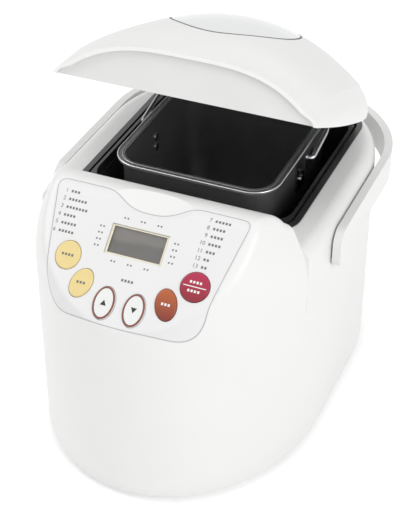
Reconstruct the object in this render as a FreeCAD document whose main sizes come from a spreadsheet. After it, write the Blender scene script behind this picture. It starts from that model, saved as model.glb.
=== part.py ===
import FreeCAD, Part
import math
import os
import re
import Sketcher
from FreeCAD import Placement, Rotation, Vector

# Bread machine with its lid held part-way open. Millimetres. X points to the right,
# the front looks along -Y, Z is up, and z = 0 is the floor under the middle of the machine.

SIZES = (
    # Body: straight sides, a long oval front and a round rear
    ("body_width", 225, "side to side"),
    ("body_front", 180, "front of the body from the middle"),
    ("body_rear", 164, "rear of the body from the middle"),
    ("front_round", 136, "length of the oval front"),
    ("wall", 2.5, "moulded wall"),
    ("foot_height", 6, "rubber foot"),
    ("foot_radius", 9, "rubber foot"),
    ("foot_side", "=body_width/2-44.5", "foot from the middle, sideways"),
    ("foot_fore", "=body_rear-42.5", "foot from the middle, front and back"),
    ("base_rim", 5.5, "height of the base plate's rim"),
    ("base_floor", 3, "thickness of the base plate"),
    ("base_inset", 1.2, "base plate behind the body wall"),
    ("deck_top", 195, "height of the deck"),
    ("deck_height", 12, "skirt of the deck"),
    ("deck_plate", 3, "top of the deck"),
    ("deck_wall", 6.5, "skirt of the deck, thickness"),
    ("deck_edge", 11, "rounding of the deck's edge"),
    # Control panel
    ("panel_bottom", 136, "height of the panel's lower crease"),
    ("panel_lean", 24, "panel's sides draw in up to its crest"),
    ("panel_depth", 102, "front of the body to the panel's rear wall"),
    ("panel_rear", "=body_front-panel_depth", "rear wall of the panel from the middle"),
    ("panel_slope", 41, "slope of the face, degrees"),
    ("row_height", "=deck_top-20", "height of the timer buttons"),
    ("row_back", 12.5, "timer buttons behind the front of the panel"),
    ("crest_start", 72, "where the flat face ends, up the slope"),
    ("crest_radius", 22.4, "rounding of the panel's top"),
    ("panel_edge", 8, "rounding of the panel's side edges"),
    ("scoop_radius", 160, "finger scoop in the panel's top"),
    ("scoop_depth", 3, "depth of the finger scoop"),
    # Overlay on the panel, in the plane of its face
    ("overlay_thick", 0.4, "overlay sheet"),
    ("overlay_top", 82.5, "upper edge"),
    ("overlay_bottom", 16, "lower edge below the timer buttons"),
    ("overlay_shoulder", 9, "where the sides begin, up the slope"),
    ("overlay_upper_half", 76.5, "half width at the top"),
    ("overlay_lower_half", 62.5, "half width where the sides begin"),
    ("overlay_corner", 9, "corner rounding"),
    ("dip_half", 39, "half width of the dip in the upper edge"),
    ("dip_depth", 12, "depth of the dip"),
    ("display_x", -2, "display centre, sideways"),
    ("display_s", 46.5, "display centre, up the slope"),
    ("display_width", 45, "display opening"),
    ("display_height", 22.5, "display opening"),
    ("button_gap", 0.4, "clearance round a button"),
    ("button_proud", 1.6, "button above the panel face"),
    ("button_depth", 5.5, "button below the panel face"),
    ("board_drop", 12, "control board below the panel face"),
    ("board_thick", 1.6, "circuit boards"),
    # Baking chamber, about the drive axis
    ("side_margin", 32.5, "chamber to the side of the body"),
    ("front_margin", 22, "panel to chamber"),
    ("rear_margin", 52, "chamber to the rear of the body"),
    ("drive_y", "=(body_rear-rear_margin-panel_rear+front_margin)/2", "drive axis"),
    ("chamber_half_x", "=body_width/2-side_margin", "inside of the chamber"),
    ("chamber_half_y", "=(body_rear-rear_margin+panel_rear-front_margin)/2", "inside of the chamber"),
    ("chamber_corner", 22, "inside corner of the chamber"),
    ("chamber_floor", 62, "height of the chamber floor"),
    ("sheet_metal", 0.8, "chamber and lid liner"),
    ("flange_half_x", "=chamber_half_x+10", "dark ring round the chamber"),
    ("flange_half_y", "=chamber_half_y+9.5", "dark ring round the chamber"),
    ("flange_corner", 22, "corner of the dark ring"),
    ("flange_thick", 0.8, "ring above the deck"),
    ("flange_skirt", 8, "ring below the deck top"),
    # Bread pan
    ("pan_half_x", "=chamber_half_x-17.5", "pan wall, outside"),
    ("pan_half_y", "=chamber_half_y-13", "pan wall, outside"),
    ("pan_corner", 18, "pan wall, outside corner"),
    ("pan_rim", 4.5, "width of the rolled rim"),
    ("pan_top", "=deck_top+16", "height of the rim"),
    ("pan_bottom", 96, "height of the pan's underside"),
    ("pan_sheet", 1.5, "pan wall"),
    ("pan_foot_radius", 42, "cast foot under the pan"),
    ("lug_half_angle", 7, "bayonet lug, degrees to each side"),
    ("seat_radius", 47, "inside of the pan seat"),
    ("pivot_height", "=pan_top-7", "bail pivot"),
    ("bail_reach", 62, "pivot to crossbar"),
    ("bail_half", "=pan_half_x+10.5", "half width of the bail"),
    ("bail_wire", 2, "radius of the bail wire"),
    ("bail_corner", 34, "corner of the bail"),
    ("shaft_radius", 4, "drive, pan and motor shafts"),
    ("running_fit", 0.05, "radial clearance of turning pins and shafts"),
    ("blade_length", 44, "kneading blade from the axis"),
    ("blade_height", 17, "kneading blade"),
    # Drive
    ("motor_y", "=72-body_front", "motor axis"),
    ("belt_low", 21, "lower edge of the belt"),
    ("belt_width", 9, "belt"),
    ("belt_thick", 2.4, "belt"),
    ("belt_gap", 0.4, "belt clear of the pulleys"),
    ("drive_pulley_radius", 50, "large pulley"),
    ("motor_pulley_radius", 10, "small pulley"),
    ("chassis_height", 44, "underside of the chassis plate"),
    ("chassis_thick", 2, "chassis plate"),
    ("bracket_height", 40, "underside of the motor bracket"),
    # Lid, described closed and then turned about its hinge
    ("hinge_y", "=body_rear-23.5", "hinge axis"),
    ("hinge_z", "=deck_top+5.5", "hinge axis"),
    ("hinge_radius", 5, "hinge knuckle"),
    ("hinge_pin", 2, "hinge pin"),
    ("lid_open", 24, "opening angle as shown, degrees"),
    ("lid_bottom", "=deck_top+1.5", "underside of the closed lid"),
    ("lid_front", "=2.5-panel_rear", "front lip of the closed lid"),
    ("lid_rear", "=hinge_y-5.5", "rear of the closed lid"),
    ("lid_half", "=body_width/2-1", "widest half width"),
    ("lid_front_half", "=lid_half-8.5", "half width at the lip"),
    ("lid_crown", 60, "crown above the underside"),
    ("lid_front_rise", 32, "arch of the lip"),
    ("skirt_lean", 11, "skirt of the lid, foot to crease, sideways"),
    ("crease_share", 0.4, "crease of the lid as a share of its rise"),
    ("lid_wall", 3, "lid shell"),
    ("fascia_inset", 4, "front face behind the lip"),
    ("frame_thick", 3, "floor ring of the lid frame"),
    ("liner_depth", 31, "hollow of the lid liner"),
    ("window_half_x", 49, "oval window"),
    ("window_half_y", "=chamber_half_y-28", "oval window"),
    ("window_y", 17, "middle of the oval window"),
    ("gasket_width", 1.6, "seal round the window"),
    # Carry handle
    ("handle_y", -31, "handle pivot"),
    ("handle_z", "=deck_top-32", "handle pivot"),
    ("handle_thick", 6.5, "handle, across"),
    ("handle_gap", 1.5, "arm clear of the body"),
    ("handle_grip", 24, "height of the grip band"),
    ("handle_rear_gap", 8.5, "finger gap behind the body"),
    ("handle_straight", 25, "arms run straight past the body's sides"),
    ("handle_pin", 4, "pivot pin"),
)

doc = FreeCAD.newDocument("bread_machine")
sheet = doc.addObject("Spreadsheet::Sheet", "Sizes")
for row, (alias, value, meaning) in enumerate(SIZES, start=1):
    sheet.set(f"A{row}", meaning)
    sheet.set(f"B{row}", str(value))
    sheet.setAlias(f"B{row}", alias)
doc.recompute()

ALIASES = {alias for alias, value, meaning in SIZES}
X_AXIS = Vector(1, 0, 0)
Y_AXIS = Vector(0, 1, 0)
Z_AXIS = Vector(0, 0, 1)
FAR = "400"
FRONT_MIDDLE = "front_round-body_front"
REAR_MIDDLE = "body_rear-body_width/2"
finished = []


def size(alias):
    """The sheet's value of one size."""
    return float(sheet.get(alias))


def ex(text):
    """An expression in which every alias is read from the sheet."""
    return re.sub(r"[a-z][a-z_]*", lambda word: "Sizes." + word[0] if word[0] in ALIASES else word[0], text)


def bind(thing, **formulas):
    for name, text in formulas.items():
        thing.setExpression(name, ex(text))


def put(thing, x="0", y="0", z="0"):
    for letter, text in zip("xyz", (x, y, z)):
        thing.setExpression(f".Placement.Base.{letter}", ex(text))
    return thing


def block(x0, x1, y0, y1, z0, z1):
    """A box between six limits."""
    box = doc.addObject("Part::Box", "Block")
    bind(box, Length=f"({x1})-({x0})", Width=f"({y1})-({y0})", Height=f"({z1})-({z0})")
    return put(box, x0, y0, z0)


def post(x, y, radius, z0, z1):
    """An upright cylinder."""
    rod = doc.addObject("Part::Cylinder", "Post")
    bind(rod, Radius=radius, Height=f"({z1})-({z0})")
    return put(rod, x, y, z0)


def pin(radius, x0, x1, y, z):
    """A cylinder along X."""
    rod = doc.addObject("Part::Cylinder", "Pin")
    rod.Placement = Placement(Vector(), Rotation(Y_AXIS, 90))
    bind(rod, Radius=radius, Height=f"({x1})-({x0})")
    return put(rod, x0, y, z)


def join(*things):
    body = doc.addObject("Part::MultiFuse", "Join")
    body.Shapes = list(things)
    body.Refine = True
    return body


def cut(base, *tools):
    body = doc.addObject("Part::Cut", "Cut")
    body.Base = base
    body.Tool = tools[0] if len(tools) == 1 else join(*tools)
    body.Refine = True
    return body


def overlap(*things):
    body = doc.addObject("Part::MultiCommon", "Overlap")
    body.Shapes = list(things)
    body.Refine = True
    return body


def group(*things):
    """Separate solids that share one file."""
    bundle = doc.addObject("Part::Compound", "Group")
    bundle.Links = list(things)
    return bundle


def freeform(name, shape):
    """A shape that only code can draw."""
    thing = doc.addObject("Part::Feature", name)
    thing.Shape = shape
    return thing


def finish(label, thing):
    thing.Label = label
    finished.append(thing)
    return thing


def rounded(half_x, half_y, corner, z0, z1, centre_y="drive_y"):
    """An upright block with rounded corners."""
    inner_x = f"(({half_x})-({corner}))"
    inner_y = f"(({half_y})-({corner}))"
    parts = [
        block(f"-({half_x})", half_x, f"{centre_y}-{inner_y}", f"{centre_y}+{inner_y}", z0, z1),
        block(f"-{inner_x}", inner_x, f"{centre_y}-({half_y})", f"{centre_y}+({half_y})", z0, z1),
    ]
    for side in ("-", ""):
        for end in ("-", "+"):
            parts.append(post(f"{side}{inner_x}", f"{centre_y}{end}{inner_y}", corner, z0, z1))
    return join(*parts)


def round_edges(base, radius, wanted):
    """Fillet the edges of a recomputed shape that a test picks out."""
    doc.recompute()
    fillet = doc.addObject("Part::Fillet", "Fillet")
    fillet.Base = base
    picked = [(n, radius, radius) for n, edge in enumerate(base.Shape.Edges, start=1) if wanted(edge)]
    fillet.Edges = picked
    return fillet


def middle_of(edge):
    return edge.valueAt((edge.FirstParameter + edge.LastParameter) / 2)


def is_straight(edge):
    return edge.Curve.TypeId == "Part::GeomLine"


def oval_prism(half_x, half_y, y, z0, z1, long_in_y=True):
    """An upright oval, long in Y or else in X."""
    oval = doc.addObject("Part::Ellipse", "Oval")
    if long_in_y:
        oval.Placement = Placement(Vector(), Rotation(Z_AXIS, 90))
        bind(oval, MajorRadius=half_y, MinorRadius=half_x)
    else:
        bind(oval, MajorRadius=half_x, MinorRadius=half_y)
    put(oval, "0", y, z0)
    prism = doc.addObject("Part::Extrusion", "OvalPrism")
    prism.Base = oval
    prism.DirMode = "Custom"
    prism.Dir = Z_AXIS
    prism.Solid = True
    bind(prism, LengthFwd=f"({z1})-({z0})")
    return prism


def body_plan(inset, z0, z1):
    """The body's plan, drawn in by an inset."""
    radius = f"body_width/2-({inset})"
    return join(
        block(f"-({radius})", radius, FRONT_MIDDLE, REAR_MIDDLE, z0, z1),
        post("0", REAR_MIDDLE, radius, z0, z1),
        oval_prism(radius, f"front_round-({inset})", FRONT_MIDDLE, z0, z1),
    )


def face_prism(edges, direction):
    return Part.Face(Part.Wire(edges)).extrude(direction)


# Body, base and deck
SHELL_BOTTOM = "foot_height+base_rim"
DECK_LOW = "deck_top-deck_height"
HINGE_BOSS = "body_width/2-wall-6"

feet = group(*[
    post(f"{side}foot_side", f"{end}foot_fore", "foot_radius", "0", "foot_height")
    for side in ("-", "") for end in ("-", "")
])
finish("feet", feet)

CHASSIS_POSTS = [(f"{side}(chamber_half_x-4)", f"drive_y{end}(chamber_half_y-12)")
                 for side in ("-", "") for end in ("-", "+")]
SCREW_HEAD = "3.6"
SCREW_CORE = "1.8"
HEAD_TOP = "foot_height+1.6"
SCREW_TIP = "foot_height+16"
INSIDE_FLOOR = "foot_height+base_floor"
VENT_PLACES = (-40, -24, -8, 8, 24, 40)
BOARD_HEIGHT = "46"
BOARD_X = "-(body_width/2-64.5)"
BOARD_STANDOFFS = [(x, y) for x in (f"{BOARD_X}-30", BOARD_X) for y in ("motor_y-7", "motor_y+35")]

base_tray = cut(
    body_plan("base_inset", "foot_height", SHELL_BOTTOM),
    body_plan("base_inset+wall", INSIDE_FLOOR, f"{SHELL_BOTTOM}+1"),
    *[post(x, y, SCREW_HEAD, "foot_height-1", HEAD_TOP) for x, y in CHASSIS_POSTS],
    *[post(x, y, SCREW_CORE, "foot_height-1", f"{INSIDE_FLOOR}+1") for x, y in CHASSIS_POSTS],
    *[block(f"{x}-2", f"{x}+2", "-35", "10", "foot_height-1", f"{INSIDE_FLOOR}+1") for x in VENT_PLACES],
)
standoffs = [post(x, y, "3", f"{INSIDE_FLOOR}-1", BOARD_HEIGHT) for x, y in BOARD_STANDOFFS]
finish("base_plate", join(base_tray, *standoffs))

screws = []
for x, y in CHASSIS_POSTS:
    screws.append(join(
        post(x, y, SCREW_HEAD, "foot_height+0.2", HEAD_TOP),
        post(x, y, SCREW_CORE, HEAD_TOP, SCREW_TIP),
    ))
finish("base_screws", group(*screws))

panel_space = block(f"-{FAR}", FAR, f"-{FAR}", "-panel_rear", "panel_bottom", FAR)
GLAND_HEIGHT = "34"
GLAND_RADIUS = "6"


def gland_rod(radius, y0, y1):
    rod = doc.addObject("Part::Cylinder", "GlandRod")
    rod.Placement = Placement(Vector(), Rotation(X_AXIS, -90))
    bind(rod, Radius=radius, Height=f"({y1})-({y0})")
    return put(rod, "0", y0, GLAND_HEIGHT)


pivot_bosses = [
    pin("9", HINGE_BOSS, "body_width/2-wall+0.5", "handle_y", "handle_z"),
    pin("9", "-(body_width/2-wall+0.5)", f"-({HINGE_BOSS})", "handle_y", "handle_z"),
]
PIN_INNER = "body_width/2-wall-5"
PIN_OUTER = "body_width/2+handle_gap+handle_thick-1.5"
shell_tube = cut(
    body_plan("0", SHELL_BOTTOM, DECK_LOW),
    body_plan("wall", f"{SHELL_BOTTOM}-1", f"{DECK_LOW}+1"),
    panel_space,
)
finish("body_shell", cut(
    join(shell_tube, *pivot_bosses),
    pin("handle_pin", PIN_INNER, FAR, "handle_y", "handle_z"),
    pin("handle_pin", f"-{FAR}", f"-({PIN_INNER})", "handle_y", "handle_z"),
    gland_rod(GLAND_RADIUS, "body_rear-60", FAR),
))
finish("cord_gland", cut(
    gland_rod(GLAND_RADIUS, "body_rear-14", "body_rear+3"),
    gland_rod("3.5", "body_rear-60", FAR),
))
finish("handle_pivots", group(
    pin("handle_pin", PIN_INNER, PIN_OUTER, "handle_y", "handle_z"),
    pin("handle_pin", f"-({PIN_OUTER})", f"-({PIN_INNER})", "handle_y", "handle_z"),
))

deck_block = body_plan("0", DECK_LOW, "deck_top")
deck_rounded = round_edges(
    deck_block, size("deck_edge"),
    lambda edge: edge.BoundBox.ZMin > size("deck_top") - 0.01,
)
EARS = (("34", "40"), ("50", "56"))
KNUCKLE = ("40.5", "49.5")
ears = []
for side in (-1, 1):
    for inner, outer in EARS:
        x0, x1 = (inner, outer) if side > 0 else (f"-{outer}", f"-{inner}")
        ears.append(pin("hinge_radius", x0, x1, "hinge_y", "hinge_z"))
        ears.append(block(x0, x1, "hinge_y-hinge_radius", "hinge_y+hinge_radius", "deck_top-1", "hinge_z"))
FLANGE_FIT_X = "flange_half_x-4"
FLANGE_FIT_Y = "flange_half_y-4"
deck_plate = cut(
    deck_rounded,
    body_plan("deck_wall", f"{DECK_LOW}-1", "deck_top-deck_plate"),
    rounded(FLANGE_FIT_X, FLANGE_FIT_Y, "flange_corner-4", "deck_top-20", "deck_top+1"),
    panel_space,
)
finish("top_deck", cut(
    join(deck_plate, *ears),
    pin("hinge_pin", "-56", "56", "hinge_y", "hinge_z"),
))
finish("lid_hinge_pins", group(
    pin("hinge_pin", "34", "56", "hinge_y", "hinge_z"),
    pin("hinge_pin", "-56", "-34", "hinge_y", "hinge_z"),
))

# Control panel
ROW_Y = size("row_back") - size("body_front")
FACE = Placement(Vector(0, ROW_Y, size("row_height")), Rotation(X_AXIS, size("panel_slope")))


def on_face(x, s, n):
    """A point given across the panel's face, up its slope and out of it."""
    return FACE.multVec(Vector(x, s, n))


def panel_side(inset, low):
    """The panel's side profile: sloped face, rounded crest and rear wall."""
    rear = -size("panel_rear") - inset
    start = on_face(0, -50, -inset)
    flat_end = on_face(0, size("crest_start"), -inset)
    centre = on_face(0, size("crest_start"), -size("crest_radius"))
    radius = size("crest_radius") - inset
    top = centre + Vector(0, 0, radius)
    drop = math.sqrt(radius ** 2 - (rear - centre.y) ** 2)
    crest_end = Vector(0, rear, centre.z + drop)
    front_low = Vector(0, start.y, low)
    rear_low = Vector(0, rear, low)
    edges = [
        Part.makeLine(front_low, start),
        Part.makeLine(start, flat_end),
        Part.Arc(flat_end, top, crest_end).toShape(),
        Part.makeLine(crest_end, rear_low),
        Part.makeLine(rear_low, front_low),
    ]
    reach = size("body_width")
    return face_prism(edges, Vector(2 * reach, 0, 0)).translated(Vector(-reach, 0, 0))


def panel_plan(inset, low):
    """The panel's plan: the body's oval front, drawn in at the sides towards the crest."""
    steps = ((low, 0), ("panel_bottom", 0), ("deck_top-36", 0), ("deck_top-12", 0.11), ("deck_top", 0.28),
             ("deck_top+16", 0.58), ("deck_top+34", 1), ("deck_top+60", 1.7))
    sections = []
    for height, share in steps:
        oval = doc.addObject("Part::Ellipse", "PanelOval")
        oval.Placement = Placement(Vector(), Rotation(Z_AXIS, 90))
        bind(oval, MinorRadius=f"body_width/2-panel_lean*{share}-({inset})",
             MajorRadius=f"front_round-({inset})")
        put(oval, "0", FRONT_MIDDLE, height)
        sections.append(oval)
    loft = doc.addObject("Part::Loft", "PanelLoft")
    loft.Sections = sections
    loft.Solid = True
    return loft


hood = overlap(
    panel_plan("0", "panel_bottom-20"),
    freeform("PanelSide", panel_side(0, size("panel_bottom"))),
)


def crown_edge(edge):
    """The edge between the panel's face and its curved wall."""
    middle = middle_of(edge)
    high = middle.z > size("panel_bottom") + 10
    return high and not is_straight(edge) and middle.y < -size("panel_rear") - size("wall") - 1


hood_rounded = round_edges(hood, size("panel_edge"), crown_edge)
scoop = doc.addObject("Part::Sphere", "Scoop")
bind(scoop, Radius="scoop_radius")
SCOOP_TURN = math.radians(size("panel_slope") * 0.55)
scoop_reach = size("crest_radius") + size("scoop_radius") - size("scoop_depth")
scoop_centre = on_face(0, size("crest_start"), -size("crest_radius")) + Vector(
    0, -math.sin(SCOOP_TURN) * scoop_reach, math.cos(SCOOP_TURN) * scoop_reach)
scoop.Placement = Placement(scoop_centre, Rotation())
hood_outside = cut(hood_rounded, scoop)

panel_core = overlap(
    panel_plan("wall", "panel_bottom-20"),
    freeform("PanelInside", panel_side(size("wall"), size("panel_bottom") - 5)),
)
scoop_under = doc.addObject("Part::Sphere", "ScoopUnder")
bind(scoop_under, Radius="scoop_radius+wall")
scoop_under.Placement = Placement(scoop_centre, Rotation())
panel_core_rounded = round_edges(panel_core, size("panel_edge") - size("wall"), crown_edge)
panel_inside = cut(panel_core_rounded, scoop_under)


def overlay_outline():
    """The overlay's outline on the panel's face: a bowed foot, leaning sides and a dip at the top."""
    top = size("overlay_top")
    low = Vector(0, -size("overlay_bottom"), 0)
    shoulder = Vector(size("overlay_lower_half"), size("overlay_shoulder"), 0)
    corner = Vector(size("overlay_upper_half"), top, 0)
    rounding = size("overlay_corner")
    dip = Vector(size("dip_half"), top, 0)
    lowest = Vector(0, top - size("dip_depth"), 0)
    side = (corner - shoulder).normalize()
    side_end = corner - side * rounding
    top_start = corner - X_AXIS * rounding
    heel = Vector(shoulder.x * 0.63, low.y * 0.84, 0)
    right = [
        bezier(low, low + X_AXIS * (heel.x * 0.4), heel - Vector(heel.x * 0.3, heel.x * 0.035, 0), heel),
        bezier(heel, heel + Vector(heel.x * 0.38, heel.x * 0.045, 0), shoulder - side * 11, shoulder),
        Part.makeLine(shoulder, side_end),
        bezier(side_end, corner, top_start),
        Part.makeLine(top_start, dip),
        bezier(dip, dip - X_AXIS * (dip.x * 0.42), lowest + X_AXIS * (dip.x * 0.6), lowest),
    ]
    left = [edge.mirror(Vector(), X_AXIS) for edge in reversed(right)]
    wire = Part.Wire(Part.__sortEdges__(right + left))
    prism = Part.Face(wire).extrude(Vector(0, 0, 90)).translated(Vector(0, 0, -45))
    prism.Placement = FACE.multiply(prism.Placement)
    return prism


def bezier(*poles):
    curve = Part.BezierCurve()
    curve.setPoles(list(poles))
    return curve.toShape()


# The six buttons: name, across the face, up the face, half width, half length, lean
BUTTONS = (
    ("menu_button", -49.5, 27, 9.6, 10.6, 0),
    ("size_button", -33, 9.8, 8.0, 11.2, -18),
    ("timer_up_button", -11.6, 0, 8.2, 12.2, 0),
    ("timer_down_button", 11.6, 0, 8.2, 12.2, 0),
    ("crust_button", 33, 9.8, 8.0, 11.6, 18),
    ("start_button", 49.5, 27, 10.8, 10.8, 0),
)


def face_oval(x, s, half_x, half_s, lean, low, high):
    """An oval column square to the panel's face."""
    upright = half_s >= half_x
    oval = Part.Ellipse(Vector(), max(half_x, half_s), min(half_x, half_s)).toShape()
    column = Part.Face(Part.Wire([oval])).extrude(Vector(0, 0, high - low))
    turned = Placement(Vector(x, s, low), Rotation(Z_AXIS, lean + 90 if upright else lean))
    column.Placement = FACE.multiply(turned)
    return column


def face_block(x, s, width, height, low, high):
    """A box square to the panel's face."""
    box = Part.makeBox(width, height, high - low)
    box.Placement = FACE.multiply(Placement(Vector(x - width / 2, s - height / 2, low), Rotation()))
    return box


def face_post(x, s, radius, low, high):
    rod = Part.makeCylinder(radius, high - low)
    rod.Placement = FACE.multiply(Placement(Vector(x, s, low), Rotation()))
    return rod


GAP = size("button_gap")
FLANGE = 1.4
button_holes = [
    freeform("ButtonHole", face_oval(x, s, wide + GAP, long + GAP, lean, -14, 12))
    for name, x, s, wide, long, lean in BUTTONS
]
display_hole = freeform("DisplayHole", face_block(
    size("display_x"), size("display_s"), size("display_width"), size("display_height"), -12, 12))
outward = FACE.Rotation.multVec(Z_AXIS)
raised = freeform("HoodRaised", Part.Shape())
doc.recompute()
raised.Shape = hood_outside.Shape.translated(outward * size("overlay_thick"))
overlay_area = freeform("OverlayArea", overlay_outline())
overlay_sheet = cut(overlap(raised, overlay_area), hood_outside)
finish("panel_overlay", cut(overlay_sheet, *button_holes, display_hole))

BOARD_TOP = -size("board_drop")
boss_places = ((-56, 64), (56, 64), (-20, 21), (20, 21))
bosses = [freeform("Boss", face_post(x, s, 3, BOARD_TOP, -size("wall") + 0.5)) for x, s in boss_places]
hood_skin = cut(hood_outside, panel_inside)
finish("control_panel", cut(join(hood_skin, *bosses), *button_holes, display_hole))

LCD_TOP = -2.6
PANE_TOP = -1.1
lcd = face_block(size("display_x"), size("display_s"), size("display_width") - 1,
                 size("display_height") - 1, BOARD_TOP, LCD_TOP)
finish("lcd_module", freeform("Lcd", lcd))
pane = face_block(size("display_x"), size("display_s"), size("display_width"),
                  size("display_height"), LCD_TOP, PANE_TOP)
finish("display_window", freeform("Pane", pane))

board_low = BOARD_TOP - size("board_thick")
board = face_block(0, 42, 124, 52, board_low, BOARD_TOP)
tongue = face_block(0, 10, 84, 12, board_low, BOARD_TOP)
tip = face_block(0, -3, 52, 16, board_low, BOARD_TOP)
SWITCH_TOP = -size("button_depth") - FLANGE - 1.4
switches = [face_block(x, s, 6, 6, BOARD_TOP, SWITCH_TOP) for name, x, s, wide, long, lean in BUTTONS]
finish("control_board", freeform("Board", board.multiFuse([tongue, tip] + switches).removeSplitter()))

for name, x, s, wide, long, lean in BUTTONS:
    stem = face_oval(x, s, wide, long, lean, -size("button_depth"), size("button_proud"))
    rim = face_oval(x, s, wide + 1.8, long - 2, lean, -size("button_depth") - FLANGE, -size("button_depth"))
    top_edges = [edge for edge in stem.Edges if edge.BoundBox.ZMin > on_face(0, s - long, 0.5).z
                 and edge.Curve.TypeId == "Part::GeomEllipse" and
                 FACE.inverse().multVec(middle_of(edge)).z > 0]
    finish(name, freeform(name, stem.makeFillet(1.2, top_edges).fuse(rim).removeSplitter()))

# Baking chamber
CHAMBER_TOP = "deck_top-flange_skirt"
FLANGE_TOP = "deck_top+flange_thick"
flange_solid = join(
    rounded("flange_half_x", "flange_half_y", "flange_corner", "deck_top", FLANGE_TOP),
    rounded(FLANGE_FIT_X, FLANGE_FIT_Y, "flange_corner-4", CHAMBER_TOP, FLANGE_TOP),
)
groove = cut(
    rounded("flange_half_x-4.6", "flange_half_y-4.6", "flange_corner-4.6", "deck_top-4", f"{FLANGE_TOP}+1"),
    rounded("flange_half_x-6.6", "flange_half_y-6.6", "flange_corner-6.6", "deck_top-5", f"{FLANGE_TOP}+2"),
)
finish("chamber_flange", cut(
    flange_solid, groove,
    rounded("chamber_half_x+1", "chamber_half_y+1", "chamber_corner+1", "deck_top-20", f"{FLANGE_TOP}+1"),
))

HEATER_HEIGHT = "chamber_floor+17"
HEATER_RADIUS = 3.2
TERMINAL_X = 14
terminals = []
for side in ("-", ""):
    rod = doc.addObject("Part::Cylinder", "TerminalHole")
    rod.Placement = Placement(Vector(), Rotation(X_AXIS, -90))
    bind(rod, Radius=str(HEATER_RADIUS), Height="30")
    terminals.append(put(rod, f"{side}{TERMINAL_X}", "drive_y-chamber_half_y-15", HEATER_HEIGHT))
SENSOR_HEIGHT = "chamber_floor+80"
liner_tub = join(
    rounded("chamber_half_x+sheet_metal", "chamber_half_y+sheet_metal", "chamber_corner+sheet_metal",
            "chamber_floor-sheet_metal", CHAMBER_TOP),
    rounded(FLANGE_FIT_X, FLANGE_FIT_Y, "flange_corner-4", f"{CHAMBER_TOP}-sheet_metal", CHAMBER_TOP),
)
finish("chamber_liner", cut(
    liner_tub,
    rounded("chamber_half_x", "chamber_half_y", "chamber_corner", "chamber_floor", f"{CHAMBER_TOP}+1"),
    post("0", "drive_y", "24", "chamber_floor-5", "chamber_floor+1"),
    pin("3", "-chamber_half_x-10", "-chamber_half_x+10", "drive_y", SENSOR_HEIGHT),
    *terminals,
))
finish("temperature_sensor", pin("3", "-chamber_half_x-12", "-chamber_half_x+7", "drive_y", SENSOR_HEIGHT))


def loop_edges(half_x, half_y, corner, centre_y, z):
    """The straight runs and corners of a rounded rectangle, as a wire."""
    x = half_x - corner
    y = half_y - corner
    edges = []
    corners = ((1, 1), (-1, 1), (-1, -1), (1, -1))
    for turn, (side, end) in enumerate(corners):
        middle = Vector(side * x, centre_y + end * y, z)
        edges.append(Part.makeCircle(corner, middle, Z_AXIS, 90 * turn, 90 * turn + 90))
    lines = []
    for first, second in zip(edges, edges[1:] + edges[:1]):
        lines.append(Part.makeLine(first.Vertexes[-1].Point, second.Vertexes[0].Point))
    return [edge for pair in zip(edges, lines) for edge in pair]


def heater_path():
    """An open loop round the pan with two terminals through the front wall."""
    z = size("chamber_floor") + 17
    near = size("drive_y") - size("chamber_half_y") + 8
    bend = 6
    half_x = size("chamber_half_x") - 8
    half_y = size("chamber_half_y") - 8
    loop = loop_edges(half_x, half_y, size("chamber_corner"), size("drive_y"), z)
    kept = []
    for edge in loop:
        if abs(middle_of(edge).y - near) > 0.01:
            kept.append(edge)
    front_x = half_x - size("chamber_corner")
    for side in (-1, 1):
        bend_start = Vector(side * (TERMINAL_X + bend), near, z)
        bend_end = Vector(side * TERMINAL_X, near - bend, z)
        slant = bend * (1 - math.sqrt(0.5))
        through = Vector(side * (TERMINAL_X + slant), near - slant, z)
        kept.append(Part.makeLine(Vector(side * front_x, near, z), bend_start))
        kept.append(Part.Arc(bend_start, through, bend_end).toShape())
        kept.append(Part.makeLine(bend_end, Vector(side * TERMINAL_X, near - bend - 10, z)))
    return Part.Wire(Part.__sortEdges__(kept))


def tube(path, radius):
    """A round rod along a path."""
    first = path.OrderedVertexes[0].Point
    edge = path.OrderedEdges[0]
    forward = (edge.valueAt(edge.FirstParameter) - first).Length < 1e-6
    parameter = edge.FirstParameter if forward else edge.LastParameter
    ring = Part.Wire([Part.makeCircle(radius, first, edge.tangentAt(parameter))])
    return path.makePipeShell([ring], True, True)


finish("heater_element", freeform("Heater", tube(heater_path(), HEATER_RADIUS)))
clips = []
for side in ("-", ""):
    for end in ("-", "+"):
        x = f"{side}(chamber_half_x-8)"
        saddle = doc.addObject("Part::Cylinder", "Saddle")
        saddle.Placement = Placement(Vector(), Rotation(X_AXIS, -90))
        bind(saddle, Radius=str(HEATER_RADIUS), Height="30")
        put(saddle, x, f"drive_y{end}30-15", HEATER_HEIGHT)
        near, far = f"drive_y{end}30-3", f"drive_y{end}30+3"
        clip = block(f"{x}-5", f"{x}+5", near, far, "chamber_floor", f"{HEATER_HEIGHT}+1")
        clips.append(cut(clip, saddle))
finish("heater_clips", group(*clips))

# Pan seat, chassis and drive
SEAT_WALL = "seat_radius+5"


def sector(inner, outer, half_angle, low, high, turn):
    """A curved lug about the drive axis."""
    spread = math.radians(half_angle)
    corners = [
        (inner, -spread), (outer, -spread), (outer, 0), (outer, spread), (inner, spread), (inner, 0),
    ]
    points = [Vector(radius * math.cos(angle), radius * math.sin(angle), low) for radius, angle in corners]
    edges = [
        Part.makeLine(points[0], points[1]),
        Part.Arc(points[1], points[2], points[3]).toShape(),
        Part.makeLine(points[3], points[4]),
        Part.Arc(points[4], points[5], points[0]).toShape(),
    ]
    lug = face_prism(edges, Vector(0, 0, high - low))
    lug.Placement = Placement(Vector(0, size("drive_y"), 0), Rotation(Z_AXIS, turn))
    return lug


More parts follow.
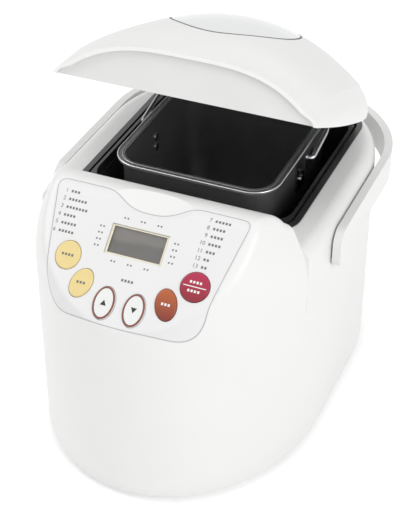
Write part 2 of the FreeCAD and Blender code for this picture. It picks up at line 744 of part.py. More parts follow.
FLOOR = size("chamber_floor")
LUG_ANGLE = size("lug_half_angle")
FOOT_RADIUS = size("pan_foot_radius")
seat_ring = cut(
    join(post("0", "drive_y", "seat_radius+9", "chamber_floor", "chamber_floor+2"),
         post("0", "drive_y", SEAT_WALL, "chamber_floor", "chamber_floor+18")),
    post("0", "drive_y", "seat_radius", "chamber_floor+2", "chamber_floor+19"),
    post("0", "drive_y", "30", "chamber_floor-1", "chamber_floor+3"),
)
tabs = [
    freeform("Tab", sector(
        FOOT_RADIUS + 1.5, size("seat_radius") + 0.5, LUG_ANGLE, FLOOR + 10, FLOOR + 13, turn,
    ))
    for turn in (0, 180)
]
finish("pan_seat", join(seat_ring, *tabs))

CHASSIS_TOP = "chassis_height+chassis_thick"
BEARING_RADIUS = "13"
chassis_plate = rounded(
    "chamber_half_x+6", "chamber_half_y+6", "chamber_corner+6", "chassis_height", CHASSIS_TOP,
)
legs = [post(x, y, "6", INSIDE_FLOOR, "chassis_height+0.5") for x, y in CHASSIS_POSTS]
risers = [post(x, y, "5", f"{CHASSIS_TOP}-0.5", "chamber_floor-sheet_metal")
          for x, y in (("-55", "drive_y"), ("55", "drive_y"), ("0", "drive_y-62"), ("0", "drive_y+62"))]
finish("chassis_frame", cut(
    join(chassis_plate, *legs, *risers),
    post("0", "drive_y", BEARING_RADIUS, "chassis_height-1", f"{CHASSIS_TOP}+1"),
    *[post(x, y, SCREW_CORE, "foot_height", SCREW_TIP) for x, y in CHASSIS_POSTS],
))
finish("bearing_housing", cut(
    join(post("0", "drive_y", BEARING_RADIUS, "chassis_height-2", "chamber_floor-2"),
         post("0", "drive_y", "20", CHASSIS_TOP, f"{CHASSIS_TOP}+3")),
    post("0", "drive_y", "shaft_radius+running_fit", "0", FAR),
))

COUPLING_LOW = "chamber_floor+3"
finish("drive_shaft", post("0", "drive_y", "shaft_radius", "belt_low-4", f"{COUPLING_LOW}+3"))
DOG_LOW = f"{COUPLING_LOW}+3"
dogs = [block("-4", "4", f"drive_y{end}15.5-3.5", f"drive_y{end}15.5+3.5", DOG_LOW, f"{DOG_LOW}+12")
        for end in ("-", "+")]
finish("drive_coupling", cut(
    join(post("0", "drive_y", "20", COUPLING_LOW, f"{COUPLING_LOW}+4"), *dogs),
    post("0", "drive_y", "shaft_radius", "0", f"{COUPLING_LOW}+3"),
))

WHEEL_HOLES = 5


def pulley(name, radius, bore, low, height):
    """A turned wheel with a ring of lightening holes, as a body of features."""
    wheel = doc.addObject("PartDesign::Body", name)
    plane = [item for item in wheel.Origin.OriginFeatures if item.Role == "XY_Plane"][0]
    axis = [item for item in wheel.Origin.OriginFeatures if item.Role == "Z_Axis"][0]
    outline = wheel.newObject("Sketcher::SketchObject", f"{name}_outline")
    outline.AttachmentSupport = (plane, [""])
    outline.MapMode = "FlatFace"
    for text in (radius, bore):
        ring = outline.addGeometry(Part.Circle(Vector(), Z_AXIS, size("shaft_radius") + 30), False)
        outline.addConstraint(Sketcher.Constraint("Coincident", ring, 3, -1, 1))
        radius_rule = outline.addConstraint(Sketcher.Constraint("Radius", ring, 30))
        outline.setExpression(f"Constraints[{radius_rule}]", ex(text))
    pad = wheel.newObject("PartDesign::Pad", f"{name}_pad")
    pad.Profile = outline
    bind(pad, Length=height)
    doc.recompute()
    holes = wheel.newObject("Sketcher::SketchObject", f"{name}_holes")
    holes.AttachmentSupport = (plane, [""])
    holes.MapMode = "FlatFace"
    hole = holes.addGeometry(Part.Circle(Vector(30, 0, 0), Z_AXIS, 8), False)
    holes.addConstraint(Sketcher.Constraint("PointOnObject", hole, 3, -1))
    reach = holes.addConstraint(Sketcher.Constraint("DistanceX", -1, 1, hole, 3, 30))
    holes.setExpression(f"Constraints[{reach}]", ex(f"({radius})*0.58"))
    wide = holes.addConstraint(Sketcher.Constraint("Radius", hole, 8))
    holes.setExpression(f"Constraints[{wide}]", ex(f"({radius})*0.2"))
    pocket = wheel.newObject("PartDesign::Pocket", f"{name}_pocket")
    pocket.Profile = holes
    pocket.Type = "ThroughAll"
    pocket.Midplane = True
    ring_of = wheel.newObject("PartDesign::PolarPattern", f"{name}_pattern")
    ring_of.Originals = [pocket]
    ring_of.Axis = (axis, [""])
    ring_of.Angle = 360
    ring_of.Occurrences = WHEEL_HOLES
    wheel.Tip = ring_of
    return put(wheel, "0", "drive_y", low)


finish("drive_pulley", pulley(
    "drive_wheel", "drive_pulley_radius", "shaft_radius", "belt_low-1", "belt_width+2",
))

finish("motor_shaft", post("0", "motor_y", "shaft_radius", "belt_low-3", "bracket_height+50"))
finish("motor_pulley", cut(
    join(post("0", "motor_y", "motor_pulley_radius", "belt_low-2", "belt_low+belt_width+2"),
         post("0", "motor_y", "motor_pulley_radius+3.5", "belt_low-2", "belt_low-0.6"),
         post("0", "motor_y", "motor_pulley_radius+3.5",
              "belt_low+belt_width+0.6", "belt_low+belt_width+2")),
    post("0", "motor_y", "shaft_radius", "0", FAR),
))


def belt_outline(extra):
    """The open belt's outline round both pulleys."""
    far_radius = size("drive_pulley_radius") + size("belt_gap") + extra
    near_radius = size("motor_pulley_radius") + size("belt_gap") + extra
    span = size("drive_y") - size("motor_y")
    lean = math.asin((far_radius - near_radius) / span)
    touch = Vector(math.cos(lean), -math.sin(lean), 0)
    mirrored = Vector(-touch.x, touch.y, 0)
    far = Vector(0, size("drive_y"), 0)
    near = Vector(0, size("motor_y"), 0)
    edges = [
        Part.makeLine(near + touch * near_radius, far + touch * far_radius),
        Part.Arc(far + touch * far_radius, far + Y_AXIS * far_radius,
                 far + mirrored * far_radius).toShape(),
        Part.makeLine(far + mirrored * far_radius, near + mirrored * near_radius),
        Part.Arc(near + mirrored * near_radius, near - Y_AXIS * near_radius,
                 near + touch * near_radius).toShape(),
    ]
    return Part.Face(Part.Wire(edges))


belt_face = belt_outline(size("belt_thick")).cut(belt_outline(0))
belt = belt_face.extrude(Vector(0, 0, size("belt_width"))).translated(Vector(0, 0, size("belt_low")))
finish("drive_belt", freeform("Belt", belt))

BRACKET_TOP = "bracket_height+3"
bracket_legs = [post(f"{side}36", f"motor_y{end}19", "4", INSIDE_FLOOR, "bracket_height+1")
                for side in ("-", "") for end in ("-", "+")]
finish("motor_bracket", cut(
    join(block("-41", "41", "motor_y-32", "motor_y+25", "bracket_height", BRACKET_TOP), *bracket_legs),
    post("0", "motor_y", "9", "bracket_height-1", f"{BRACKET_TOP}+1"),
))
finish("motor", cut(
    join(block("-31", "31", "motor_y-30", "motor_y+24", f"{BRACKET_TOP}+10", f"{BRACKET_TOP}+40"),
         post("0", "motor_y", "22", BRACKET_TOP, f"{BRACKET_TOP}+54")),
    post("0", "motor_y", "shaft_radius+running_fit", "0", f"{BRACKET_TOP}+48"),
))
CAPACITOR_X = "body_width/2-64.5"
finish("motor_capacitor", block(
    CAPACITOR_X, f"{CAPACITOR_X}+34", "motor_y+1", "motor_y+23", INSIDE_FLOOR, f"{INSIDE_FLOOR}+32",
))
BOARD_TOP_FACE = f"{BOARD_HEIGHT}+board_thick"
finish("power_board", join(
    block(f"{BOARD_X}-36", f"{BOARD_X}+5", "motor_y-13", "motor_y+41", BOARD_HEIGHT, BOARD_TOP_FACE),
    block(f"{BOARD_X}-28", f"{BOARD_X}-2", "motor_y+17", "motor_y+37",
          BOARD_TOP_FACE, f"{BOARD_TOP_FACE}+22"),
    block(f"{BOARD_X}-14", BOARD_X, "motor_y-7", "motor_y+9", BOARD_TOP_FACE, f"{BOARD_TOP_FACE}+16"),
    post(f"{BOARD_X}-26", "motor_y+1", "6", BOARD_TOP_FACE, f"{BOARD_TOP_FACE}+20"),
))

# Bread pan, bail and kneading blade
PAN_INSIDE = "pan_bottom+pan_sheet"
pan_outer = join(
    rounded("pan_half_x", "pan_half_y", "pan_corner", "pan_bottom", "pan_top"),
    rounded("pan_half_x+pan_rim", "pan_half_y+pan_rim", "pan_corner+pan_rim", "pan_top-2", "pan_top"),
)
RIVET_HEIGHTS = ("pan_top-28", "pan_top-19")
RIVETS = [(side, height) for side in ("-", "") for height in RIVET_HEIGHTS]
rivet_holes = [pin("2", f"-{FAR}", FAR, "drive_y", height) for height in RIVET_HEIGHTS]
BUSH_RADIUS = "9"
finish("bread_pan", cut(
    pan_outer,
    rounded("pan_half_x-pan_sheet", "pan_half_y-pan_sheet", "pan_corner-pan_sheet",
            PAN_INSIDE, "pan_top+1"),
    post("0", "drive_y", BUSH_RADIUS, "pan_bottom-1", "pan_bottom+5"),
    *rivet_holes,
))
BRACKET_PLATE = "pan_half_x+1.5"
EAR_IN = "pan_half_x+pan_rim+1"
EAR_OUT = "pan_half_x+pan_rim+3"
brackets = []
for side in ("-", ""):
    limits = [("pan_half_x", BRACKET_PLATE), ("pan_half_x", EAR_OUT), (EAR_IN, EAR_OUT)]
    if side:
        limits = [(f"-({far})", f"-({near})") for near, far in limits]
    heights = [("pan_top-36", "pan_top-12"), ("pan_top-14", "pan_top-12"), ("pan_top-14", "pivot_height+5")]
    plates = [block(x0, x1, "drive_y-9", "drive_y+9", z0, z1)
              for (x0, x1), (z0, z1) in zip(limits, heights)]
    brackets.append(cut(
        join(*plates), *[pin("2", f"-{FAR}", FAR, "drive_y", height) for height in RIVET_HEIGHTS],
        pin("bail_wire+running_fit", f"-{FAR}", FAR, "drive_y", "pivot_height"),
    ))
finish("pan_brackets", group(*brackets))
rivets = []
for side, height in RIVETS:
    limits = [("pan_half_x-pan_sheet-1", BRACKET_PLATE), (BRACKET_PLATE, f"{BRACKET_PLATE}+1.4"),
              ("pan_half_x-pan_sheet-1", "pan_half_x-pan_sheet")]
    if side:
        limits = [(f"-({far})", f"-({near})") for near, far in limits]
    radii = ("2", "3.4", "3.4")
    rods = [pin(radius, x0, x1, "drive_y", height) for (x0, x1), radius in zip(limits, radii)]
    rivets.append(join(*rods))
finish("pan_rivets", group(*rivets))


def bail_path():
    """Half the bail from its pivot end to the middle, then mirrored; drawn flat in XY."""
    half = size("bail_half")
    reach = size("bail_reach")
    hook = 3.2
    corner = size("bail_corner")
    slant = 1 - math.sqrt(0.5)
    start = Vector(half - 7, 0, 0)
    bend = Vector(half - hook, 0, 0)
    arm = Vector(half, hook, 0)
    turn = Vector(half, reach - corner, 0)
    bar = Vector(half - corner, reach, 0)
    right = [
        Part.makeLine(start, bend),
        Part.Arc(bend, Vector(half - hook * slant, hook * slant, 0), arm).toShape(),
        Part.makeLine(arm, turn),
        Part.Arc(turn, Vector(half - corner * slant, reach - corner * slant, 0), bar).toShape(),
        Part.makeLine(bar, Vector(0, reach, 0)),
    ]
    left = [edge.mirror(Vector(), X_AXIS) for edge in reversed(right)]
    return Part.Wire(Part.__sortEdges__(right + left))


BAIL_CLEAR = 0.8
bail_rise = size("pan_top") + size("bail_wire") + BAIL_CLEAR - size("pivot_height")
bail_lean = math.degrees(math.asin(bail_rise / (size("bail_reach") - size("bail_corner") / 2)))
bail = freeform("Bail", tube(bail_path(), size("bail_wire")))
bail.Placement = Placement(Vector(0, size("drive_y"), size("pivot_height")), Rotation(X_AXIS, bail_lean))
finish("pan_bail", bail)

FOOT_LOW = "chamber_floor+2.2"
foot_ring = cut(
    post("0", "drive_y", "pan_foot_radius", FOOT_LOW, "pan_bottom"),
    post("0", "drive_y", "pan_foot_radius-4", "chamber_floor", "pan_bottom-3"),
    post("0", "drive_y", BUSH_RADIUS, "pan_bottom-5", "pan_bottom+1"),
)
lugs = [freeform("Lug", sector(FOOT_RADIUS - 0.5, FOOT_RADIUS + 4, LUG_ANGLE, FLOOR + 5, FLOOR + 9.5, turn))
        for turn in (0, 180)]
finish("pan_foot", join(foot_ring, *lugs))
finish("pan_bush", cut(
    post("0", "drive_y", BUSH_RADIUS, "pan_bottom-7", PAN_INSIDE),
    post("0", "drive_y", "shaft_radius+running_fit", "0", FAR),
))
WING_LOW = "chamber_floor+9.5"
finish("pan_shaft", post("0", "drive_y", "shaft_radius", WING_LOW, f"{PAN_INSIDE}+15.5"))
finish("pan_coupling", cut(
    join(post("0", "drive_y", "7", WING_LOW, "pan_bottom-10"),
         block("-18", "18", "drive_y-3.5", "drive_y+3.5", WING_LOW, f"{WING_LOW}+7")),
    post("0", "drive_y", "shaft_radius", "0", FAR),
))
finish("shaft_clip", cut(
    post("0", "drive_y", "7.5", "pan_bottom-9.2", "pan_bottom-8"),
    post("0", "drive_y", "shaft_radius", "0", FAR),
))


def paddle():
    """The blade's fin: a leaf in side view, thin across."""
    low = size("pan_bottom") + size("pan_sheet") + 0.6
    high = low + size("blade_height")
    length = size("blade_length")
    shoulder = Vector(length - 9, 0, low + 13)
    edges = [
        Part.makeLine(Vector(0, 0, low), Vector(length - 6, 0, low)),
        Part.Arc(Vector(length - 6, 0, low), Vector(length, 0, low + 6), shoulder).toShape(),
        Part.Arc(shoulder, Vector(length * 0.45, 0, high), Vector(0, 0, high - 2)).toShape(),
        Part.makeLine(Vector(0, 0, high - 2), Vector(0, 0, low)),
    ]
    leaf = face_prism(edges, Vector(0, 6, 0)).translated(Vector(0, -3, 0))
    return leaf.translated(Vector(0, size("drive_y"), 0))


hub = post("0", "drive_y", "9", f"{PAN_INSIDE}+0.6", f"{PAN_INSIDE}+15.5")
finish("kneading_blade", cut(
    join(hub, freeform("Paddle", paddle())),
    post("0", "drive_y", "shaft_radius", "0", f"{PAN_INSIDE}+15.5"),
))

# Lid. Everything is described closed and turned open about the hinge at the end.
lid_pieces = []
WIDEST_Y = -3.0
CROWN_Y = 27.0
ARCH_POINTS = 18


def lid_half_width(y):
    """Half width of the closed lid: easing in at the lip, an oval towards the rear."""
    widest = size("lid_half")
    if y < WIDEST_Y:
        share = (WIDEST_Y - y) / (WIDEST_Y - size("lid_front"))
        return widest - (widest - size("lid_front_half")) * share ** 2.6
    return widest * math.sqrt(1 - ((y - WIDEST_Y) / (size("lid_rear") + 32 - WIDEST_Y)) ** 2)


def lid_rise(y):
    """Height of the lid's middle line over its underside."""
    crown = size("lid_crown")
    if y < CROWN_Y:
        share = (CROWN_Y - y) / (CROWN_Y - size("lid_front"))
        return crown - (crown - size("lid_front_rise")) * share ** 2.1
    share = (y - CROWN_Y) / (size("lid_rear") + 4 - CROWN_Y)
    return crown * math.sqrt(1 - share ** 2)


def lid_crease(y, toward_lip):
    """Height of the crease above the lid's skirt, lower at the lip."""
    share = size("crease_share") - 0.1 * toward_lip ** 4
    return lid_rise(y) * share


def lid_arch(y, inset, place):
    """One arch across the lid: a curved skirt up to a crease, then the dome, fuller at the lip."""
    toward_lip = min(1.0, max(0.0, (WIDEST_Y - y) / (WIDEST_Y - size("lid_front"))))
    power = 2.0 + 1.3 * toward_lip ** 1.5
    half = lid_half_width(y) - inset
    rise = lid_rise(y) - inset
    low = size("lid_bottom")
    crease = Vector(half - size("skirt_lean"), place, low + lid_crease(y, toward_lip) - inset * 0.5)
    foot = Vector(half, place, low)
    skirt_poles = [
        crease,
        crease + Vector(size("skirt_lean") * 0.45, 0, (low - crease.z) * 0.32),
        foot + Vector(0, 0, (crease.z - low) * 0.5),
        foot,
    ]
    points = []
    for step in range(ARCH_POINTS + 1):
        share = 1 - 2 * step / ARCH_POINTS
        height = (low + rise - crease.z) * (1 - abs(share) ** power)
        points.append(Vector(crease.x * share, place, crease.z + height))
    dome_curve = Part.BSplineCurve()
    dome_curve.interpolate(points)
    mirrored = [Vector(-pole.x, pole.y, pole.z) for pole in reversed(skirt_poles)]
    return Part.Wire([
        bezier(*reversed(skirt_poles)),
        dome_curve.toShape(),
        bezier(*reversed(mirrored)),
        Part.makeLine(mirrored[0], foot),
    ])


def lid_solid(inset, ahead, short):
    """The lid's dome as a solid, reaching ahead of the lip and stopping short of the rear."""
    first = size("lid_front")
    last = size("lid_rear")
    steps = 9
    stations = [first + (last - first) * step / steps for step in range(steps + 1)]
    arches = []
    if ahead > 0:
        arches.append(lid_arch(first, inset, first - ahead))
    for y in stations:
        arches.append(lid_arch(y, inset, y if y < last else y - short))
    return Part.makeLoft(arches, True, False)


def lid_finish(label, thing):
    lid_pieces.append(thing)
    return finish(label, thing)


WALL = size("lid_wall")
dome = freeform("Dome", lid_solid(0, 0, 0))
hollow = freeform("DomeHollow", lid_solid(WALL, 6, WALL))
RING_TOP = "lid_bottom+frame_thick"
KNUCKLE_WEB = "lid_bottom+4"


def knuckle_webs(y0, y1):
    webs = []
    for side in (-1, 1):
        x0, x1 = KNUCKLE if side > 0 else (f"-{KNUCKLE[1]}", f"-{KNUCKLE[0]}")
        webs.append(block(x0, x1, y0, y1, "lid_bottom", KNUCKLE_WEB))
    return webs


gasket_hole = oval_prism(
    "window_half_x+gasket_width", "window_half_y+gasket_width", "window_y", "lid_bottom+20", FAR,
)
shell = cut(dome, hollow)
lid_finish("lid_shell", cut(shell, gasket_hole, *knuckle_webs("lid_rear-20", "lid_rear+5")))
lens_area = oval_prism("window_half_x", "window_half_y", "window_y", "lid_bottom+20", FAR)
lid_finish("window_gasket", cut(overlap(shell, gasket_hole), lens_area))
lid_finish("lid_window", overlap(shell, lens_area))

LINER_X = size("pan_half_x") + 19.5
LINER_FRONT = size("lid_front") + 18.5
LINER_REAR = size("lid_rear") - 18
LINER_TOP_X = LINER_X - 9.5
LINER_TOP_FRONT = LINER_FRONT + 10
LINER_TOP_REAR = LINER_REAR - 24
LINER_CORNER = 28
LINER_TOP_CORNER = 50
LINER_MIDDLE = (LINER_FRONT + LINER_REAR) / 2
LINER_HALF_Y = (LINER_REAR - LINER_FRONT) / 2
fascia = block(f"-{FAR}", FAR, "lid_front+fascia_inset", "lid_front+fascia_inset+2.5", "lid_bottom-1", FAR)
ring = cut(
    block(f"-{FAR}", FAR, "lid_front+fascia_inset", FAR, "lid_bottom-1", RING_TOP),
    rounded(str(LINER_X), str(LINER_HALF_Y), str(LINER_CORNER),
            "lid_bottom-2", f"{RING_TOP}+1", str(LINER_MIDDLE)),
)
frame_inside = overlap(hollow, join(fascia, ring))
knuckles = []
for side in (-1, 1):
    x0, x1 = KNUCKLE if side > 0 else (f"-{KNUCKLE[1]}", f"-{KNUCKLE[0]}")
    knuckles.append(pin("hinge_radius", x0, x1, "hinge_y", "hinge_z"))
lid_finish("lid_frame", cut(
    join(frame_inside, *knuckles, *knuckle_webs("lid_rear-12", "hinge_y")),
    pin("hinge_pin+running_fit", "-60", "60", "hinge_y", "hinge_z"),
))


def liner_solid(inset):
    """The tapered hollow of the lid liner."""
    low = size("lid_bottom") + size("frame_thick")
    high = size("lid_bottom") + size("liner_depth") - inset
    top_middle = (LINER_TOP_FRONT + LINER_TOP_REAR) / 2
    top_half = (LINER_TOP_REAR - LINER_TOP_FRONT) / 2
    lower = loop_edges(LINER_X - inset, LINER_HALF_Y - inset, LINER_CORNER - inset, LINER_MIDDLE, low)
    upper = loop_edges(LINER_TOP_X - inset, top_half - inset, LINER_TOP_CORNER - inset, top_middle, high)
    return Part.makeLoft([Part.Wire(lower), Part.Wire(upper)], True, True)


liner_flange = rounded(str(LINER_X + 4), str(LINER_HALF_Y + 4), str(LINER_CORNER + 4), RING_TOP,
                       f"{RING_TOP}+sheet_metal", str(LINER_MIDDLE))
PANE_X = "38"
PANE_Y = "44"
liner_shape = cut(
    join(freeform("LinerOutside", liner_solid(0)), liner_flange),
    freeform("LinerInside", liner_solid(size("sheet_metal"))),
    oval_prism(PANE_X, PANE_Y, "window_y+10", "lid_bottom+20", FAR),
)
lid_finish("lid_liner", liner_shape)
LINER_TOP = "lid_bottom+liner_depth"
lid_finish("inner_pane", oval_prism(
    f"{PANE_X}+6", f"{PANE_Y}+6", "window_y+10", LINER_TOP, f"{LINER_TOP}+3",
))

hinge = Vector(0, size("hinge_y"), size("hinge_z"))
opening = Placement(Vector(), Rotation(X_AXIS, -size("lid_open")), hinge)
for piece in lid_pieces:
    piece.Placement = opening

# Carry handle
ARM_IN = "body_width/2+handle_gap"
ARM_OUT = "body_width/2+handle_gap+handle_thick"
ROUND_Y = f"{REAR_MIDDLE}+handle_straight"


def bow(half_x, half_y, z0, z1):
    """Two straight arms and a rounded rear, as a solid plan."""
    oval = oval_prism(half_x, half_y, ROUND_Y, z0, z1, long_in_y=False)
    return join(oval, block(f"-({half_x})", half_x, "handle_y-20", ROUND_Y, z0, z1))


def handle_side():
    """The handle's side view: a stub at the pivot, a narrow bend and the grip band."""
    y = size("handle_y")
    z = size("handle_z")
    top = z + size("handle_grip")
    end = size("body_rear") * 2
    bend = 12
    stub = 8
    neck = top - 10
    front_low = Vector(0, y - stub, z)
    front_high = Vector(0, y - stub, top - bend)
    top_front = Vector(0, y - stub + bend, top)
    bend_mid = Vector(0, y - stub + bend * (1 - math.sqrt(0.5)), top - bend * (1 - math.sqrt(0.5)))
    back_low = Vector(0, y + stub, z)
    back_high = Vector(0, y + stub, neck - 6)
    neck_mid = Vector(0, y + stub + 6 * (1 - math.sqrt(0.5)), neck - 6 * (1 - math.sqrt(0.5)))
    neck_start = Vector(0, y + stub + 6, neck)
    swoop = Part.BezierCurve()
    swoop.setPoles([neck_start, neck_start + Vector(0, 24, 0), Vector(0, y + 40, z), Vector(0, y + 68, z)])
    edges = [
        Part.makeLine(front_low, front_high),
        Part.Arc(front_high, bend_mid, top_front).toShape(),
        Part.makeLine(top_front, Vector(0, end, top)),
        Part.makeLine(Vector(0, end, top), Vector(0, end, z)),
        Part.makeLine(Vector(0, end, z), Vector(0, y + 68, z)),
        swoop.toShape(),
        Part.Arc(neck_start, neck_mid, back_high).toShape(),
        Part.makeLine(back_high, back_low),
        Part.Arc(back_low, Vector(0, y, z - stub), front_low).toShape(),
    ]
    reach = size("body_width")
    wire = Part.Wire(Part.__sortEdges__(edges))
    return Part.Face(wire).extrude(Vector(2 * reach, 0, 0)).translated(Vector(-reach, 0, 0))


REAR_IN = "body_width/2+handle_rear_gap-handle_straight"
REAR_OUT = f"{REAR_IN}+handle_thick+0.5"
handle_band = cut(
    bow(ARM_OUT, REAR_OUT, "handle_z-30", "handle_z+60"),
    bow(ARM_IN, REAR_IN, "handle_z-40", "handle_z+70"),
    block(f"-{FAR}", FAR, f"-{FAR}", "handle_y-19", "0", FAR),
)
handle_shape = overlap(handle_band, freeform("HandleSide", handle_side()))
PIN_BORE = f"{PIN_OUTER}+0.3"
finish("carry_handle", cut(
    handle_shape,
    pin("handle_pin+running_fit", "0", PIN_BORE, "handle_y", "handle_z"),
    pin("handle_pin+running_fit", f"-({PIN_BORE})", "0", "handle_y", "handle_z"),
))

doc.recompute()
for thing in doc.Objects:
    if "Invalid" in thing.State or "Error" in thing.State:
        raise RuntimeError(f"{thing.Name} did not recompute")
os.makedirs("parts", exist_ok=True)
for thing in finished:
    if thing.Shape.isNull() or not thing.Shape.isValid() or not thing.Shape.Solids:
        raise RuntimeError(f"{thing.Label} has no valid solid")
    thing.Shape.exportStep(f"parts/{thing.Label}.step")
    print(thing.Label, len(thing.Shape.Solids), round(thing.Shape.Volume, 1))
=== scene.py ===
"""Looks of a countertop bread machine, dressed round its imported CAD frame."""

import logging
import math
from dataclasses import dataclass
from enum import Enum
from typing import Any, Optional, Sequence

import bpy
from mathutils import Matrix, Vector
from mathutils.bvhtree import BVHTree


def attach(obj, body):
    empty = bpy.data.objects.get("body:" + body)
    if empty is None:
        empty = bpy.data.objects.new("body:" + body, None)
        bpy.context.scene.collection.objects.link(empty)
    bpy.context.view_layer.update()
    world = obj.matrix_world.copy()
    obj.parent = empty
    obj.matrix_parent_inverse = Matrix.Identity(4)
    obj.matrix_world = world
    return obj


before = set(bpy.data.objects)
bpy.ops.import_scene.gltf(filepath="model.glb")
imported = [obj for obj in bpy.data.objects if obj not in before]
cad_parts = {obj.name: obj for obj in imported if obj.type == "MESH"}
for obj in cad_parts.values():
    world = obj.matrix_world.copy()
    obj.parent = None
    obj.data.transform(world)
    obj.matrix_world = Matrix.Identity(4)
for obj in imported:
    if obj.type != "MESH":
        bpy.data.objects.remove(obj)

LOG = logging.getLogger("bread_machine")
MM = 0.001
PRINT_LIFT = 0.06
MIX_A = 6
MIX_B = 7
MIX_RESULT = 2

Flat = tuple[float, float]
Polygon = list[Flat]


def linear(hex_colour: str) -> tuple[float, float, float, float]:
    """Turns an sRGB hex colour to linear RGBA.

    Args:
        hex_colour: Six hex digits, with a leading hash.

    Returns:
        Linear red, green, blue and an alpha of one.
    """
    digits = hex_colour.lstrip("#")
    parts = [int(digits[at:at + 2], 16) / 255 for at in (0, 2, 4)]
    curve = [p / 12.92 if p <= 0.04045 else ((p + 0.055) / 1.055) ** 2.4 for p in parts]
    return curve[0], curve[1], curve[2], 1.0


def add_node(
    tree: bpy.types.NodeTree,
    kind: str,
    settings: Optional[dict[str, Any]] = None,
    values: Optional[dict[Any, Any]] = None,
    links: Optional[dict[Any, bpy.types.NodeSocket]] = None,
) -> bpy.types.Node:
    """Adds one node to a tree, with its settings, input values and links.

    Args:
        tree: Shader or geometry tree.
        kind: Type name of the node.
        settings: Attributes of the node.
        values: Values of its input sockets, by name or place.
        links: Sockets that feed its inputs, by name or place.

    Returns:
        The new node.
    """
    node = tree.nodes.new(kind)
    for key, value in (settings or {}).items():
        setattr(node, key, value)
    for key, value in (values or {}).items():
        node.inputs[key].default_value = value
    for key, source in (links or {}).items():
        tree.links.new(source, node.inputs[key])
    return node


class Run(Enum):
    """Way that a surface's fine pattern runs, as a stretch of its three axes."""

    EVEN = (1.0, 1.0, 1.0)
    ALONG_X = (0.03, 1.0, 1.0)
    ALONG_Y = (1.0, 0.03, 1.0)


@dataclass(frozen=True)
class Finish:
    """Surface finish with a slow drift of colour and a fine grain, both from real sizes.

    The grain is drawn coarser than the real one where the real one is too fine to show.
    """

    name: str
    colour: str
    drift_colour: str
    roughness: float
    roughness_spread: float = 0.06
    metallic: float = 0.0
    ior: float = 1.5
    drift_mm: float = 45.0
    grain_mm: float = 0.6
    grain_depth_mm: float = 0.02
    run: Run = Run.EVEN
    coat: float = 0.0
    alpha: float = 1.0
    # Painted shade: the darker colour that the foot of a piece fades to.
    low_colour: Optional[str] = None
    low_mm: float = 0.0
    high_mm: float = 1.0

    def faded(
        self, tree: bpy.types.NodeTree, place: bpy.types.NodeSocket, colour: bpy.types.NodeSocket,
    ) -> bpy.types.NodeSocket:
        """Fades the colour into the painted shade colour towards the foot of a piece, as painted shade.

        Args:
            tree: Shader tree.
            place: Socket with the place on the object.
            colour: Socket with the colour at the top.

        Returns:
            Socket with the faded colour.
        """
        height = add_node(tree, "ShaderNodeSeparateXYZ", links={"Vector": place})
        share = add_node(
            tree, "ShaderNodeMapRange",
            values={"From Min": self.low_mm * MM, "From Max": self.high_mm * MM},
            links={"Value": height.outputs["Z"]},
        )
        mixed = add_node(
            tree, "ShaderNodeMix", {"data_type": "RGBA"}, {MIX_A: linear(self.low_colour)},
            {0: share.outputs["Result"], MIX_B: colour},
        )
        return mixed.outputs[MIX_RESULT]

    def build(self) -> bpy.types.Material:
        """Builds the material.

        Returns:
            A new material named for the finish.
        """
        material = bpy.data.materials.new(self.name)
        material.use_nodes = True
        tree = material.node_tree
        shader = tree.nodes["Principled BSDF"]
        shader.inputs["Metallic"].default_value = self.metallic
        shader.inputs["IOR"].default_value = self.ior
        shader.inputs["Coat Weight"].default_value = self.coat
        shader.inputs["Coat Roughness"].default_value = 0.12
        shader.inputs["Alpha"].default_value = self.alpha
        place = add_node(tree, "ShaderNodeTexCoord").outputs["Object"]
        drift = add_node(
            tree, "ShaderNodeTexNoise",
            values={"Scale": 1 / (self.drift_mm * MM), "Detail": 3.0},
            links={"Vector": place},
        )
        blend = add_node(
            tree, "ShaderNodeMix", {"data_type": "RGBA"},
            {MIX_A: linear(self.colour), MIX_B: linear(self.drift_colour)},
            {0: drift.outputs["Fac"]},
        )
        colour = blend.outputs[MIX_RESULT]
        # Painted shade: the colour darkens towards the piece's foot.
        if self.low_colour:
            colour = self.faded(tree, place, colour)
        tree.links.new(colour, shader.inputs["Base Color"])
        turned = add_node(
            tree, "ShaderNodeMapping", values={"Scale": self.run.value}, links={"Vector": place},
        )
        grain = add_node(
            tree, "ShaderNodeTexNoise",
            values={"Scale": 1 / (self.grain_mm * MM), "Detail": 2.0},
            links={"Vector": turned.outputs["Vector"]},
        )
        spread = add_node(
            tree, "ShaderNodeMapRange",
            values={
                "To Min": max(0.02, self.roughness - self.roughness_spread),
                "To Max": min(1.0, self.roughness + self.roughness_spread),
            },
            links={"Value": grain.outputs["Fac"]},
        )
        tree.links.new(spread.outputs["Result"], shader.inputs["Roughness"])
        bump = add_node(
            tree, "ShaderNodeBump",
            values={"Strength": 0.35, "Distance": self.grain_depth_mm * MM},
            links={"Height": grain.outputs["Fac"]},
        )
        tree.links.new(bump.outputs["Normal"], shader.inputs["Normal"])
        return material


# Injection-moulded polypropylene: white, satin gloss, a faint orange-peel from the mould.
WHITE_CASE = Finish("moulded_polypropylene_white", "#ECECEB", "#E8E8E7", 0.34, drift_mm=70, grain_mm=0.9)
# Printed polyester sheet: the case's white with a duller, finer surface.
PANEL_SHEET = Finish("printed_polyester_sheet", "#E7E7E7", "#E3E3E3", 0.42, drift_mm=50, grain_mm=0.5)
# Heat-resistant moulded plastic of the recessed lid fascia: the case's white, made a very light grey as painted
# shade, with a fine spark-eroded grain.
LID_FASCIA = Finish("lid_fascia_painted_shade_grey", "#E2E2E1", "#DADAD9", 0.5, drift_mm=40, grain_mm=0.7)
# Polished acrylic, tinted pale: smoother than the dome around it.
WINDOW_ACRYLIC = Finish("polished_acrylic_pale", "#E6E7E7", "#DFE0E1", 0.12, 0.03, drift_mm=60, coat=0.4)
# Extruded silicone of the window's seal: grey, with a powdery skin.
GREY_SEAL = Finish("extruded_silicone_grey", "#5B5B5C", "#666667", 0.6, drift_mm=8, grain_mm=0.4)
